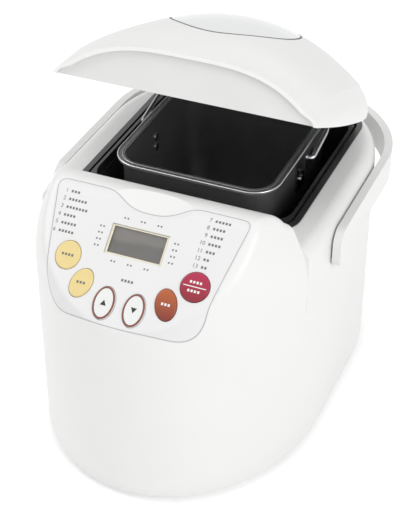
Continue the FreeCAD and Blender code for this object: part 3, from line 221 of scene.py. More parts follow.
# Moulded rubber of the belt: dull and dark, with a powdery skin.
BLACK_RUBBER = Finish("moulded_rubber_black", "#1B1B1C", "#242425", 0.7, drift_mm=8, grain_mm=0.4)
# Soft pale rubber of the feet, slightly dusty.
PALE_RUBBER = Finish("moulded_rubber_pale", "#E3E2DF", "#D7D6D2", 0.65, drift_mm=8, grain_mm=0.4)
# Clear polycarbonate pane: thin enough to be seen straight through, with hardly any tint.
CLEAR_PANE = Finish(
    "clear_polycarbonate", "#F4F5F2", "#EEF0EC", 0.08, 0.02, ior=1.58, alpha=0.08, grain_depth_mm=0.001,
)
# Reflective liquid-crystal cell: warm grey with a soft silky grain.
LCD_CELL = Finish("liquid_crystal_cell", "#716D6A", "#686461", 0.4, drift_mm=25, grain_mm=0.5)
# Moulded keys of dyed ABS: satin with a light grain, one dye for each; the two warm ones darken downwards as painted
# shade.
YELLOW_KEY = Finish("moulded_abs_yellow", "#E9D596", "#E2CC8B", 0.38, drift_mm=14, grain_mm=0.5)
PALE_KEY = Finish("moulded_abs_pale", "#E9EBE9", "#E3E5E3", 0.38, drift_mm=14, grain_mm=0.5)
ORANGE_KEY = Finish(
    "moulded_abs_orange", "#B45E32", "#AB572D", 0.34, drift_mm=14, grain_mm=0.5,
    low_colour="#762320", low_mm=174.0, high_mm=188.0,
)
RED_KEY = Finish(
    "moulded_abs_red", "#B0244A", "#A62043", 0.34, drift_mm=14, grain_mm=0.5,
    low_colour="#841A26", low_mm=186.0, high_mm=198.0,
)
# Glass-fibre circuit board under green solder mask.
CIRCUIT_BOARD = Finish("solder_mask_green", "#1E5B33", "#184C2A", 0.4, drift_mm=6, grain_mm=0.8)
# Heat-resistant moulded plastic, dark and matt.
DARK_PLASTIC = Finish("moulded_phenolic_dark", "#3A3A3B", "#303031", 0.5, drift_mm=20, grain_mm=0.5)
# The same plastic from a polished mould: its edges carry a grey sheen.
RING_PLASTIC = Finish("polished_phenolic_dark", "#303031", "#29292A", 0.3, drift_mm=20, grain_mm=0.7, coat=0.3)
# Pressed steel with a baked dark oven coating: matt with a fine sparkle.
OVEN_COATING = Finish("baked_oven_coating", "#2E2D2C", "#383736", 0.5, metallic=0.2, drift_mm=18, grain_mm=0.5)
# Deep-drawn aluminium with a sprayed non-stick coat: dark satin with a metallic sheen.
NON_STICK = Finish(
    "sprayed_non_stick_coat", "#9C9C9D", "#8C8C8D", 0.3, metallic=0.8, drift_mm=16, grain_mm=0.5, coat=0.2,
)
# Die-cast aluminium, tumbled: dull silver with a mottled skin.
CAST_ALUMINIUM = Finish(
    "die_cast_aluminium", "#B4B4B6", "#A2A3A5", 0.42, 0.1, metallic=1.0, drift_mm=5, grain_mm=0.6,
)
# Rolled aluminium sheet: fine lines along the rolling direction.
ROLLED_ALUMINIUM = Finish(
    "rolled_aluminium_sheet", "#C2C3C5", "#B6B7B9", 0.32, 0.1, metallic=1.0, grain_mm=0.4, run=Run.ALONG_Y,
)
# Drawn steel wire and turned steel: bright with faint drawing lines.
DRAWN_STEEL = Finish(
    "drawn_steel_bright", "#C4C4C6", "#AFB0B2", 0.22, 0.08, metallic=1.0, drift_mm=12, grain_mm=0.3, run=Run.ALONG_X,
)
# Bare aluminium on the rolled edges of the pan's rim, bright, without lines; its lightness against the pan is partly
# painted highlight.
RIM_HIGHLIGHT_ALUMINIUM = Finish("rim_highlight_aluminium", "#CBCBCD", "#BDBDBF", 0.26, metallic=1.0, drift_mm=10, grain_mm=0.5)
# Zinc-plated sheet: cool grey with a spangled drift.
ZINC_SHEET = Finish("zinc_plated_sheet", "#A6A9AD", "#8F9296", 0.38, 0.12, metallic=1.0, drift_mm=9, grain_mm=0.8)
# Sintered brass: dull yellow with open pores.
SINTERED_BRASS = Finish("sintered_brass", "#B8934C", "#A58240", 0.45, 0.12, metallic=1.0, drift_mm=3, grain_mm=0.3)
# Varnished stack of iron laminations: dark grey with fine level lines.
LAMINATED_IRON = Finish(
    "varnished_iron_laminations", "#4B4B4C", "#3C3C3D", 0.5, 0.1, metallic=0.7, grain_mm=0.5, run=Run.ALONG_X,
)
# Glass-filled nylon of the pulleys: dark with a fibrous grain.
FILLED_NYLON = Finish("glass_filled_nylon", "#39393A", "#2F2F30", 0.55, drift_mm=7, grain_mm=0.5)
# Screen inks on the panel sheet and keys.
BLACK_INK = Finish("screen_ink_black", "#1A191A", "#242324", 0.5, drift_mm=6, grain_mm=0.3, grain_depth_mm=0.004)
DARK_INK = Finish("screen_ink_dark", "#686768", "#737273", 0.5, drift_mm=6, grain_mm=0.3, grain_depth_mm=0.004)
LINE_INK = Finish("screen_ink_grey", "#ABADB1", "#B5B7BA", 0.5, drift_mm=12, grain_mm=0.3, grain_depth_mm=0.004)
RING_INK = Finish("screen_ink_brown", "#844A3C", "#783F32", 0.5, drift_mm=6, grain_mm=0.3, grain_depth_mm=0.004)
WHITE_INK = Finish("screen_ink_white", "#F1EFEC", "#E9E7E3", 0.5, drift_mm=6, grain_mm=0.3, grain_depth_mm=0.004)
CREAM_INK = Finish("screen_ink_cream", "#EFE8D2", "#E8E0C8", 0.5, drift_mm=9, grain_mm=0.3, grain_depth_mm=0.004)


class Shelf:
    """Builds each finish's material once and hands it out."""

    def __init__(self) -> None:
        """Starts with no materials."""
        self._made: dict[str, bpy.types.Material] = {}

    def get(self, finish: Finish) -> bpy.types.Material:
        """Gives the material of a finish.

        Args:
            finish: Finish that is wanted.

        Returns:
            Its material, built on first use.
        """
        if finish.name not in self._made:
            self._made[finish.name] = finish.build()
        return self._made[finish.name]


SHELF = Shelf()


def mesh_object(name: str, points: Sequence[Vector], faces: Sequence[Sequence[int]]) -> bpy.types.Object:
    """Makes a mesh object at the origin and links it to the scene.

    Args:
        name: Name of the piece.
        points: Vertices, in metres.
        faces: Vertex numbers of each face.

    Returns:
        The new object.
    """
    mesh = bpy.data.meshes.new(name)
    mesh.from_pydata([tuple(point) for point in points], [], [tuple(face) for face in faces])
    mesh.update()
    thing = bpy.data.objects.new(name, mesh)
    bpy.context.scene.collection.objects.link(thing)
    return thing


def hand_over(thing: bpy.types.Object, body: str, finish: Finish) -> None:
    """Dresses an added piece and lets it ride on its body.

    Args:
        thing: Finished mesh object.
        body: CAD body that carries it.
        finish: Its finish.
    """
    thing.data.materials.clear()
    thing.data.materials.append(SHELF.get(finish))
    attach(thing, body)
    LOG.info("piece %s rides on %s", thing.name, body)


class NodeTool:
    """Geometry Nodes tree with named inputs, run on an object and turned to a plain mesh."""

    def __init__(self, name: str, inputs: dict[str, str]) -> None:
        """Starts a tree.

        Args:
            name: Name of the tree.
            inputs: Socket type of each named input.
        """
        self.tree = bpy.data.node_groups.new(name, "GeometryNodeTree")
        face = self.tree.interface
        face.new_socket("Geometry", in_out="INPUT", socket_type="NodeSocketGeometry")
        self.keys: dict[str, str] = {}
        for label, kind in inputs.items():
            self.keys[label] = face.new_socket(label, in_out="INPUT", socket_type=kind).identifier
        face.new_socket("Geometry", in_out="OUTPUT", socket_type="NodeSocketGeometry")
        self.start = add_node(self.tree, "NodeGroupInput")
        self.end = add_node(self.tree, "NodeGroupOutput")

    def close(self, shape: bpy.types.NodeSocket) -> None:
        """Ends the tree in Realize Instances and Set Material.

        Args:
            shape: Socket that carries the finished shape.
        """
        real = add_node(self.tree, "GeometryNodeRealizeInstances", links={"Geometry": shape})
        painted = add_node(
            self.tree, "GeometryNodeSetMaterial",
            links={"Geometry": real.outputs["Geometry"], "Material": self.start.outputs["Material"]},
        )
        self.tree.links.new(painted.outputs["Geometry"], self.end.inputs["Geometry"])

    def run(self, thing: bpy.types.Object, values: dict[str, Any]) -> bpy.types.Mesh:
        """Runs the tree on an object and gives its result.

        Args:
            thing: Object with the points or the path.
            values: Value of each named input.

        Returns:
            The result as a plain mesh; the object is removed.
        """
        modifier = thing.modifiers.new(self.tree.name, "NODES")
        modifier.node_group = self.tree
        for label, value in values.items():
            modifier[self.keys[label]] = value
        graph = bpy.context.evaluated_depsgraph_get()
        mesh = bpy.data.meshes.new_from_object(thing.evaluated_get(graph))
        bpy.data.objects.remove(thing)
        return mesh


def block_tool() -> NodeTool:
    """Builds the tree that sets a small flat block on every point.

    Returns:
        Tree with the inputs Width, Height and Material.
    """
    tool = NodeTool("blocks_on_points", {
        "Width": "NodeSocketFloat", "Height": "NodeSocketFloat", "Material": "NodeSocketMaterial",
    })
    block = add_node(
        tool.tree, "GeometryNodeMeshGrid", values={"Vertices X": 2, "Vertices Y": 2},
        links={"Size X": tool.start.outputs["Width"], "Size Y": tool.start.outputs["Height"]},
    )
    rows = add_node(
        tool.tree, "GeometryNodeInstanceOnPoints",
        links={"Points": tool.start.outputs["Geometry"], "Instance": block.outputs["Mesh"]},
    )
    tool.close(rows.outputs["Instances"])
    return tool


def ribbon_tool() -> NodeTool:
    """Builds the tree that lays a flat ribbon along a path.

    Returns:
        Tree with the inputs Width, Step and Material.
    """
    tool = NodeTool("ribbon_on_path", {
        "Width": "NodeSocketFloat", "Step": "NodeSocketFloat", "Material": "NodeSocketMaterial",
    })
    even = add_node(
        tool.tree, "GeometryNodeResampleCurve", {"mode": "LENGTH"},
        links={"Curve": tool.start.outputs["Geometry"], "Length": tool.start.outputs["Step"]},
    )
    half = add_node(
        tool.tree, "ShaderNodeMath", {"operation": "MULTIPLY"}, {1: 0.5}, {0: tool.start.outputs["Width"]},
    )
    other = add_node(
        tool.tree, "ShaderNodeMath", {"operation": "MULTIPLY"}, {1: -0.5}, {0: tool.start.outputs["Width"]},
    )
    right = add_node(tool.tree, "ShaderNodeCombineXYZ", links={"X": half.outputs[0]})
    left = add_node(tool.tree, "ShaderNodeCombineXYZ", links={"X": other.outputs[0]})
    across = add_node(
        tool.tree, "GeometryNodeCurvePrimitiveLine",
        links={"Start": left.outputs[0], "End": right.outputs[0]},
    )
    level = add_node(
        tool.tree, "GeometryNodeSetCurveNormal", {"mode": "Z_UP"}, links={"Curve": even.outputs["Curve"]},
    )
    ribbon = add_node(
        tool.tree, "GeometryNodeCurveToMesh",
        links={"Curve": level.outputs["Curve"], "Profile Curve": across.outputs["Curve"]},
    )
    tool.close(ribbon.outputs["Mesh"])
    return tool


def bead_tool() -> NodeTool:
    """Builds the tree that rolls a round bead along a path.

    Returns:
        Tree with the inputs Radius, Step and Material.
    """
    tool = NodeTool("bead_on_path", {
        "Radius": "NodeSocketFloat", "Step": "NodeSocketFloat", "Material": "NodeSocketMaterial",
    })
    even = add_node(
        tool.tree, "GeometryNodeResampleCurve", {"mode": "LENGTH"},
        links={"Curve": tool.start.outputs["Geometry"], "Length": tool.start.outputs["Step"]},
    )
    round_bar = add_node(
        tool.tree, "GeometryNodeCurvePrimitiveCircle", values={"Resolution": 12},
        links={"Radius": tool.start.outputs["Radius"]},
    )
    bead = add_node(
        tool.tree, "GeometryNodeCurveToMesh",
        links={"Curve": even.outputs["Curve"], "Profile Curve": round_bar.outputs["Curve"]},
    )
    smooth = add_node(tool.tree, "GeometryNodeSetShadeSmooth", links={"Geometry": bead.outputs["Mesh"]})
    tool.close(smooth.outputs["Geometry"])
    return tool


def path_object(points: Sequence[Vector]) -> bpy.types.Object:
    """Makes a closed path as a curve object.

    Args:
        points: Corners of the path, in metres.

    Returns:
        The curve object, linked to the scene.
    """
    curve = bpy.data.curves.new("path", "CURVE")
    curve.dimensions = "3D"
    spline = curve.splines.new("POLY")
    spline.points.add(len(points) - 1)
    for spot, point in zip(spline.points, points):
        spot.co = (point.x, point.y, point.z, 1.0)
    spline.use_cyclic_u = True
    thing = bpy.data.objects.new("path", curve)
    bpy.context.scene.collection.objects.link(thing)
    return thing


class SubAssembly:
    """Group of CAD nodes that are dressed together, with the pieces added to it."""

    finishes: dict[Finish, tuple[str, ...]] = {}

    def dress(self) -> None:
        """Gives each CAD node of the group its material."""
        for finish, names in self.finishes.items():
            for name in names:
                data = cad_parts[name].data
                data.materials.clear()
                data.materials.append(SHELF.get(finish))
                LOG.info("node %s wears %s", name, finish.name)

    def build(self) -> None:
        """Adds the group's own pieces; a plain group has none."""


class Housing(SubAssembly):
    """White case with its base, deck, feet, cord gland and carry handle."""

    finishes = {
        WHITE_CASE: ("body_shell", "base_plate", "top_deck", "carry_handle"),
        PALE_RUBBER: ("feet",),
        DARK_PLASTIC: ("cord_gland", "motor_capacitor"),
        DRAWN_STEEL: ("base_screws", "handle_pivots", "lid_hinge_pins"),
        ZINC_SHEET: ("chassis_frame", "motor_bracket"),
        CIRCUIT_BOARD: ("control_board", "power_board"),
    }


class Chamber(SubAssembly):
    """Dark baking chamber with its ring, heater and sensor."""

    finishes = {
        OVEN_COATING: ("chamber_liner",),
        RING_PLASTIC: ("chamber_flange",),
        DRAWN_STEEL: ("heater_element", "heater_clips", "temperature_sensor"),
        CAST_ALUMINIUM: ("pan_seat",),
    }


class Drive(SubAssembly):
    """Motor, belt, pulleys and shafts under the chamber."""

    finishes = {
        LAMINATED_IRON: ("motor",),
        FILLED_NYLON: ("drive_pulley", "motor_pulley"),
        BLACK_RUBBER: ("drive_belt",),
        DRAWN_STEEL: ("drive_shaft", "motor_shaft"),
        CAST_ALUMINIUM: ("bearing_housing", "drive_coupling"),
    }


class Lid(SubAssembly):
    """Domed lid with its oval window, fascia in painted shade and bright inner liner."""

    finishes = {
        WHITE_CASE: ("lid_shell",),
        # The fascia's light grey is painted shade on the case's white.
        LID_FASCIA: ("lid_frame",),
        WINDOW_ACRYLIC: ("lid_window",),
        GREY_SEAL: ("window_gasket",),
        ROLLED_ALUMINIUM: ("lid_liner",),
        CLEAR_PANE: ("inner_pane",),
    }


@dataclass
class PanSizes:
    """Sizes of the two bright beads on the pan's rolled rim, in millimetres."""

    half_x: float = 66.4
    half_y: float = 74.9
    corner: float = 21.9
    middle_y: float = 28.0
    height: float = 210.6
    radius: float = 0.9
    lip_inset: float = 3.5
    lip_radius: float = 0.6
    step: float = 2.0


class Pan(SubAssembly):
    """Bread pan with its bail, blade and coupling."""

    finishes = {
        NON_STICK: ("bread_pan", "kneading_blade"),
        CAST_ALUMINIUM: ("pan_foot", "pan_coupling"),
        DRAWN_STEEL: ("pan_brackets", "pan_rivets", "pan_bail", "pan_shaft", "shaft_clip"),
        SINTERED_BRASS: ("pan_bush",),
    }

    def __init__(self, sizes: PanSizes = PanSizes()) -> None:
        """Keeps the sizes of the rim's beads."""
        self.sizes = sizes

    def rim_path(self, inset: float) -> list[Vector]:
        """Gives the rounded rectangle that a bead follows.

        Args:
            inset: Distance in from the outer bead, in millimetres.

        Returns:
            Points round the rim, in metres.
        """
        s = self.sizes
        round_off = s.corner - inset
        path = []
        for quarter, (sign_x, sign_y) in enumerate(((1, 1), (-1, 1), (-1, -1), (1, -1))):
            centre = Vector((sign_x * (s.half_x - s.corner), s.middle_y + sign_y * (s.half_y - s.corner), s.height))
            for part in range(9):
                angle = math.radians(90 * quarter + 90 * part / 8)
                path.append((centre + Vector((math.cos(angle), math.sin(angle), 0)) * round_off) * MM)
        return path

    def build(self) -> None:
        """Rolls beads of bright aluminium along the outer and inner edges of the rim; their lightness is partly
        painted highlight.
        """
        s = self.sizes
        tool = bead_tool()
        # Both beads are lighter than the pan: real rolled edges, with painted highlight in their bright colour.
        for name, inset, radius in (("pan_rim_bead", 0.0, s.radius), ("pan_rim_lip", s.lip_inset, s.lip_radius)):
            mesh = tool.run(path_object(self.rim_path(inset)), {
                "Radius": radius * MM, "Step": s.step * MM, "Material": SHELF.get(RIM_HIGHLIGHT_ALUMINIUM),
            })
            bead = bpy.data.objects.new(name, mesh)
            bpy.context.scene.collection.objects.link(bead)
            hand_over(bead, "pan", RIM_HIGHLIGHT_ALUMINIUM)


@dataclass
class PanelSizes:
    """Places and sizes of the panel's printing, in millimetres across and up the slope."""

    origin: tuple[float, float, float] = (0.0, -167.5, 175.0)
    slope_deg: float = 41.0
    line_width: float = 0.6
    line_step: float = 1.5
    top: float = 82.5
    bottom: float = 16.0
    shoulder: float = 9.0
    upper_half: float = 76.5
    lower_half: float = 62.5
    corner: float = 9.0
    dip_half: float = 39.0
    dip_depth: float = 12.0
    number_size: float = 4.34
    two_digit_shift: float = 2.0
    text_indent: float = 5.5
    glyph: float = 1.6
    glyph_pitch: float = 2.5
    display_x: float = -2.0
    display_s: float = 46.5
    display_width: float = 44.4
    display_height: float = 21.9
    display_rim: float = 1.7
    mark_x: float = -16.5
    mark_pitch: float = 13.0
    mark_rows: Flat = (63.0, 30.5)
    side_mark_s: float = 53.5
    side_mark_pitch: float = 4.8
    side_mark_columns: Flat = (-32.5, 25.5)
    timer_label: Flat = (-3.8, 19.0)
    arrow_half: float = 2.3
    arrow_foot: float = 1.9
    arrow_tip: float = 2.1
    ring_inset: float = 0.2
    ring_depth: float = 1.6
    start_row: float = 3.2
    start_line_half: float = 8.6
    start_line_thick: float = 0.35


@dataclass(frozen=True)
class Key:
    """One key of the panel: its middle and its half sizes, in millimetres."""

    x: float
    s: float
    half_x: float
    half_s: float


@dataclass(frozen=True)
class Column:
    """One numbered list of the panel: its first number, its place and the length of each row."""

    first: int
    x: float
    s: float
    pitch: float
    lengths: tuple[int, ...]


class Panel(SubAssembly):
    """Sloped control panel with its printed sheet, display and six keys."""

    finishes = {
        WHITE_CASE: ("control_panel",),
        PANEL_SHEET: ("panel_overlay",),
        CLEAR_PANE: ("display_window",),
        LCD_CELL: ("lcd_module",),
        YELLOW_KEY: ("menu_button", "size_button"),
        PALE_KEY: ("timer_up_button", "timer_down_button"),
        ORANGE_KEY: ("crust_button",),
        RED_KEY: ("start_button",),
    }
    keys = {
        "menu": Key(-49.5, 27.0, 9.6, 10.6),
        "size": Key(-33.0, 9.8, 8.0, 11.2),
        "timer_up": Key(-11.6, 0.0, 8.2, 12.2),
        "timer_down": Key(11.6, 0.0, 8.2, 12.2),
        "crust": Key(33.0, 9.8, 8.0, 11.6),
        "start": Key(49.5, 27.0, 10.8, 10.8),
    }
    columns = (
        Column(1, -67.5, 73.0, 6.0, (3, 6, 7, 4, 5, 5)),
        Column(7, 44.5, 76.0, 5.7, (5, 4, 4, 4, 3, 2, 2)),
    )

    def __init__(self, sizes: PanelSizes = PanelSizes()) -> None:
        """Keeps the sizes and sets up the sloped face.

        Args:
            sizes: Places and sizes of the printing.
        """
        self.sizes = sizes
        slope = math.radians(sizes.slope_deg)
        self.origin = Vector(sizes.origin)
        self.up = Vector((0, math.cos(slope), math.sin(slope)))
        self.normal = Vector((0, -math.sin(slope), math.cos(slope)))
        self.blocks = block_tool()
        self.trees: dict[str, BVHTree] = {}

    def on_face(self, x: float, s: float, lift: float = 0.0) -> Vector:
        """Gives in metres the place that lies across, up the slope and off the face, in millimetres."""
        return (self.origin + Vector((x, 0, 0)) + self.up * s + self.normal * lift) * MM

    def surface(self, node: str) -> BVHTree:
        """Gives a CAD node's surface for laying prints on.

        Args:
            node: Name of the node.

        Returns:
            Search tree over its triangles.
        """
        if node not in self.trees:
            graph = bpy.context.evaluated_depsgraph_get()
            self.trees[node] = BVHTree.FromObject(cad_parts[node], graph)
        return self.trees[node]

    def lay(self, node: str, x: float, s: float) -> Vector:
        """Drops a point of print onto a node, along the face's normal.

        Args:
            node: Node that carries the print.
            x: Across, in millimetres.
            s: Up the slope, in millimetres.

        Returns:
            The place just above the node's surface, in metres.
        """
        start = self.on_face(x, s, 30.0)
        hit = self.surface(node).ray_cast(start, -self.normal, 0.08)
        if hit[0] is None:
            near = self.surface(node).find_nearest(self.on_face(x, s))
            return near[0] + self.normal * PRINT_LIFT * MM
        return hit[0] + self.normal * PRINT_LIFT * MM

    def print_mesh(self, name: str, node: str, mesh: bpy.types.Mesh, body: str, finish: Finish, slot: str) -> None:
        """Lays a flat mesh on a node and hands it over.

        Args:
            name: Name of the piece.
            node: Node that carries the print.
            mesh: Flat mesh, across and up the slope, in millimetres.
            body: Body that carries it.
            finish: Its ink.
            slot: Not used.
        """
        points = [self.lay(node, v.co.x, v.co.y) for v in mesh.vertices]
        faces = [list(face.vertices) for face in mesh.polygons]
        thing = mesh_object(name, points, faces)
        self.face_out(thing)
        hand_over(thing, body, finish)

    def face_out(self, thing: bpy.types.Object) -> None:
        """Turns each face of a print away from the panel.

        Args:
            thing: Laid print.
        """
        for face in thing.data.polygons:
            if face.normal.dot(self.normal) < 0:
                face.flip()
        thing.data.update()

    def flat_mesh(self, shapes: Sequence[Polygon]) -> bpy.types.Mesh:
        """Makes a flat mesh from polygons.

        Args:
            shapes: Corners of each polygon, in millimetres.

        Returns:
            A mesh with one face for each polygon.
        """
        points: list[tuple[float, float, float]] = []
        faces: list[list[int]] = []
        for shape in shapes:
            faces.append([len(points) + at for at in range(len(shape))])
            points.extend((x, s, 0.0) for x, s in shape)
        mesh = bpy.data.meshes.new("flat")
        mesh.from_pydata(points, [], faces)
        mesh.update()
        return mesh

    def glyph_mesh(self, spots: Sequence[Flat], width: float, height: float, finish: Finish) -> bpy.types.Mesh:
        """Sets plain blocks of one width, height and ink on spots, all in millimetres, as a flat mesh."""
        carrier = mesh_object("spots", [Vector((x, s, 0)) for x, s in spots], [])
        return self.blocks.run(carrier, {"Width": width, "Height": height, "Material": SHELF.get(finish)})

    def number_mesh(self, text: str, x: float, s: float) -> bpy.types.Mesh:
        """Makes a plain number as a flat mesh.

        Args:
            text: Digits.
            x: Left edge, in millimetres.
            s: Middle, up the slope.

        Returns:
            The number in millimetres.
        """
        curve = bpy.data.curves.new("number", "FONT")
        curve.body = text
        curve.size = self.sizes.number_size
        curve.align_y = "CENTER"
        curve.resolution_u = 3
        thing = bpy.data.objects.new("number", curve)
        bpy.context.scene.collection.objects.link(thing)
        graph = bpy.context.evaluated_depsgraph_get()
        mesh = bpy.data.meshes.new_from_object(thing.evaluated_get(graph))
        for vertex in mesh.vertices:
            vertex.co = Vector((vertex.co.x + x, vertex.co.y + s, 0))
        bpy.data.objects.remove(thing)
        return mesh

    def joined(self, meshes: Sequence[bpy.types.Mesh]) -> bpy.types.Mesh:
        """Joins flat meshes into one.

        Args:
            meshes: Flat meshes in millimetres.

        Returns:
            One mesh with all their faces.
        """
        shapes = []
        for mesh in meshes:
            for face in mesh.polygons:
                shapes.append([(mesh.vertices[at].co.x, mesh.vertices[at].co.y) for at in face.vertices])
        return self.flat_mesh(shapes)

    def row(self, x: float, s: float, count: int) -> list[Flat]:
        """Gives the middles of a row of blocks, the first at the given place, in millimetres."""
        return [(x + at * self.sizes.glyph_pitch, s) for at in range(count)]

    def lists(self) -> None:
        """Prints the two numbered lists: plain numbers, each with a row of plain blocks."""
        s = self.sizes
        numbers = []
        spots: list[Flat] = []
        for column in self.columns:
            for at, length in enumerate(column.lengths):
                number = column.first + at
                height = column.s - at * column.pitch
                shift = s.two_digit_shift if number > 9 else 0.0
                numbers.append(self.number_mesh(str(number), column.x - shift, height))
                spots += self.row(column.x + s.text_indent, height, length)
        self.print_mesh("list_numbers", "panel_overlay", self.joined(numbers), "housing", DARK_INK, "grey_overlay")
        blocks = self.glyph_mesh(spots, s.glyph, s.glyph * 1.15, DARK_INK)
        self.print_mesh("list_blocks", "panel_overlay", blocks, "housing", DARK_INK, "grey_overlay")

    def display_marks(self) -> None:
        """Prints the cream frame of the display and the small marks round it."""
        s = self.sizes
        half_x = s.display_width / 2
        half_s = s.display_height / 2
        outer = [(-half_x, -half_s), (half_x, -half_s), (half_x, half_s), (-half_x, half_s)]
        inner = [(x * (1 - s.display_rim / half_x), y * (1 - s.display_rim * 0.6 / half_s)) for x, y in outer]
        shapes = []
        for at in range(4):
            after = (at + 1) % 4
            corners = (outer[at], outer[after], inner[after], inner[at])
            shapes.append([(x + s.display_x, y + s.display_s) for x, y in corners])
        frame_mesh = self.flat_mesh(shapes)
        self.print_mesh("display_frame", "display_window", frame_mesh, "housing", CREAM_INK, "grey_overlay")
        spots = []
        for at in range(3):
            for height in s.mark_rows:
                spots += self.row(s.mark_x + at * s.mark_pitch, height, 2)
        for at in range(4):
            for x in s.side_mark_columns:
                spots += self.row(x, s.side_mark_s - at * s.side_mark_pitch, 2)
        marks = self.glyph_mesh(spots, s.glyph * 0.75, s.glyph * 0.8, DARK_INK)
        self.print_mesh("display_marks", "panel_overlay", marks, "housing", DARK_INK, "grey_overlay")
        label = self.glyph_mesh(self.row(*s.timer_label, 4), s.glyph, s.glyph * 1.2, DARK_INK)
        self.print_mesh("timer_label", "panel_overlay", label, "housing", DARK_INK, "grey_overlay")

    def outline_path(self) -> list[Vector]:
        """Gives the sheet's outline, drawn in by the printed line's width.

        Returns:
            Points of a closed path, in millimetres.
        """
        s = self.sizes
        low = Vector((0.0, -s.bottom))
        shoulder = Vector((s.lower_half, s.shoulder))
        corner = Vector((s.upper_half, s.top))
        side = (corner - shoulder).normalized()
        heel = Vector((shoulder.x * 0.63, low.y * 0.84))
        side_end = corner - side * s.corner
        top_start = corner - Vector((s.corner, 0.0))
        dip = Vector((s.dip_half, s.top))
        lowest = Vector((0.0, s.top - s.dip_depth))
        curves = (
            (low, low + Vector((heel.x * 0.4, 0.0)), heel - Vector((heel.x * 0.3, heel.x * 0.035)), heel),
            (heel, heel + Vector((heel.x * 0.38, heel.x * 0.045)), shoulder - side * 11, shoulder),
            (shoulder, side_end),
            (side_end, corner, top_start),
            (top_start, dip),
            (dip, dip - Vector((dip.x * 0.42, 0.0)), lowest + Vector((dip.x * 0.6, 0.0)), lowest),
        )
        right = [spot for poles in curves for spot in self.bezier(poles)]
        left = [Vector((-spot.x, spot.y)) for spot in reversed(right[1:])]
        return self.drawn_in(right + left, s.line_width)

    def bezier(self, poles: Sequence[Vector]) -> list[Vector]:
        """Walks along a Bezier curve, up to but not on its end.

        Args:
            poles: Control points, two or more.

        Returns:
            Evenly stepped points.
        """
        parts = 14
        spots = []
        for at in range(parts):
            rest = list(poles)
            while len(rest) > 1:
                rest = [first.lerp(second, at / parts) for first, second in zip(rest, rest[1:])]
            spots.append(rest[0])
        return spots

    def drawn_in(self, loop: Sequence[Vector], inset: float) -> list[Vector]:
        """Moves a closed loop inwards.

        Args:
            loop: Flat points, anticlockwise.
            inset: Distance, in millimetres.

        Returns:
            The loop's points in space, at no height.
        """
        moved = []
        for at, spot in enumerate(loop):
            along = (loop[(at + 1) % len(loop)] - loop[at - 1]).normalized()
            moved.append(Vector((spot.x - along.y * inset, spot.y + along.x * inset, 0.0)))
        return moved

    def key_prints(self) -> None:
        """Prints the marks on the keys, each riding on its key."""
        s = self.sizes
        for name, count, finish in (("menu", 4, DARK_INK), ("size", 3, DARK_INK), ("crust", 3, WHITE_INK)):
            key = self.keys[name]
            spots = self.row(key.x - (count - 1) * s.glyph_pitch / 2, key.s, count)
            blocks = self.glyph_mesh(spots, s.glyph, s.glyph * 1.15, finish)
            self.print_mesh(f"{name}_mark", f"{name}_button", blocks, f"{name}_key", finish, "grey_overlay")
        for name, way in (("timer_up", 1.0), ("timer_down", -1.0)):
            key = self.keys[name]
            foot = key.s - s.arrow_foot * way
            arrow = self.flat_mesh([[
                (key.x - s.arrow_half, foot), (key.x + s.arrow_half, foot), (key.x, key.s + s.arrow_tip * way),
            ]])
            self.print_mesh(f"{name}_arrow", f"{name}_button", arrow, f"{name}_key", BLACK_INK, "grey_overlay")
            ring = self.ring(key, s.ring_inset, s.ring_depth)
            self.print_mesh(f"{name}_ring", f"{name}_button", ring, f"{name}_key", RING_INK, "grey_overlay")
        key = self.keys["start"]
        spots = self.row(key.x - 1.5 * s.glyph_pitch, key.s + s.start_row, 4)
        spots += self.row(key.x - 1.5 * s.glyph_pitch, key.s - s.start_row, 4)
        blocks = self.glyph_mesh(spots, s.glyph, s.glyph * 1.15, WHITE_INK)
        half, thick = s.start_line_half, s.start_line_thick
        line = self.flat_mesh([[
            (key.x - half, key.s - thick), (key.x + half, key.s - thick),
            (key.x + half, key.s + thick), (key.x - half, key.s + thick),
        ]])
        marks = self.joined([blocks, line])
        self.print_mesh("start_mark", "start_button", marks, "start_key", WHITE_INK, "grey_overlay")

    def ring(self, key: Key, inset: float, depth: float) -> bpy.types.Mesh:
        """Makes a flat oval ring inside a key's edge, in bands that follow the key's rounding.

        Args:
            key: Key that carries the ring.
            inset: Ring's outer edge from the key's edge.
            depth: Ring's inner edge from the key's edge.

        Returns:
            The ring as a flat mesh.
        """
        parts = 64
        bands = 4
        cuts = [inset + (depth - inset) * band / bands for band in range(bands + 1)]
        shapes = []
        for at in range(parts):
            for outer, inner in zip(cuts, cuts[1:]):
                corners = []
                for turn, cut in ((at, outer), (at + 1, outer), (at + 1, inner), (at, inner)):
                    angle = 2 * math.pi * turn / parts
                    x = key.x + (key.half_x - cut) * math.cos(angle)
                    corners.append((x, key.s + (key.half_s - cut) * math.sin(angle)))
                shapes.append(corners)
        return self.flat_mesh(shapes)

    def outline(self) -> None:
        """Prints the thin line round the sheet."""
        s = self.sizes
        mesh = ribbon_tool().run(path_object(self.outline_path()), {
            "Width": s.line_width, "Step": s.line_step, "Material": SHELF.get(LINE_INK),
        })
        self.print_mesh("sheet_outline", "panel_overlay", mesh, "housing", LINE_INK, "grey_overlay")

    def build(self) -> None:
        """Adds all printing of the panel."""
        self.lists()
        self.display_marks()
        self.key_prints()
        self.outline()


@dataclass(frozen=True)
class Lamp:
    """One soft square lamp: where it hangs, what it faces, its edge length and its power."""

    name: str
    place: tuple[float, float, float]
    size: float
    watts: float
    target: tuple[float, float, float] = (0.0, 0.0, 0.15)


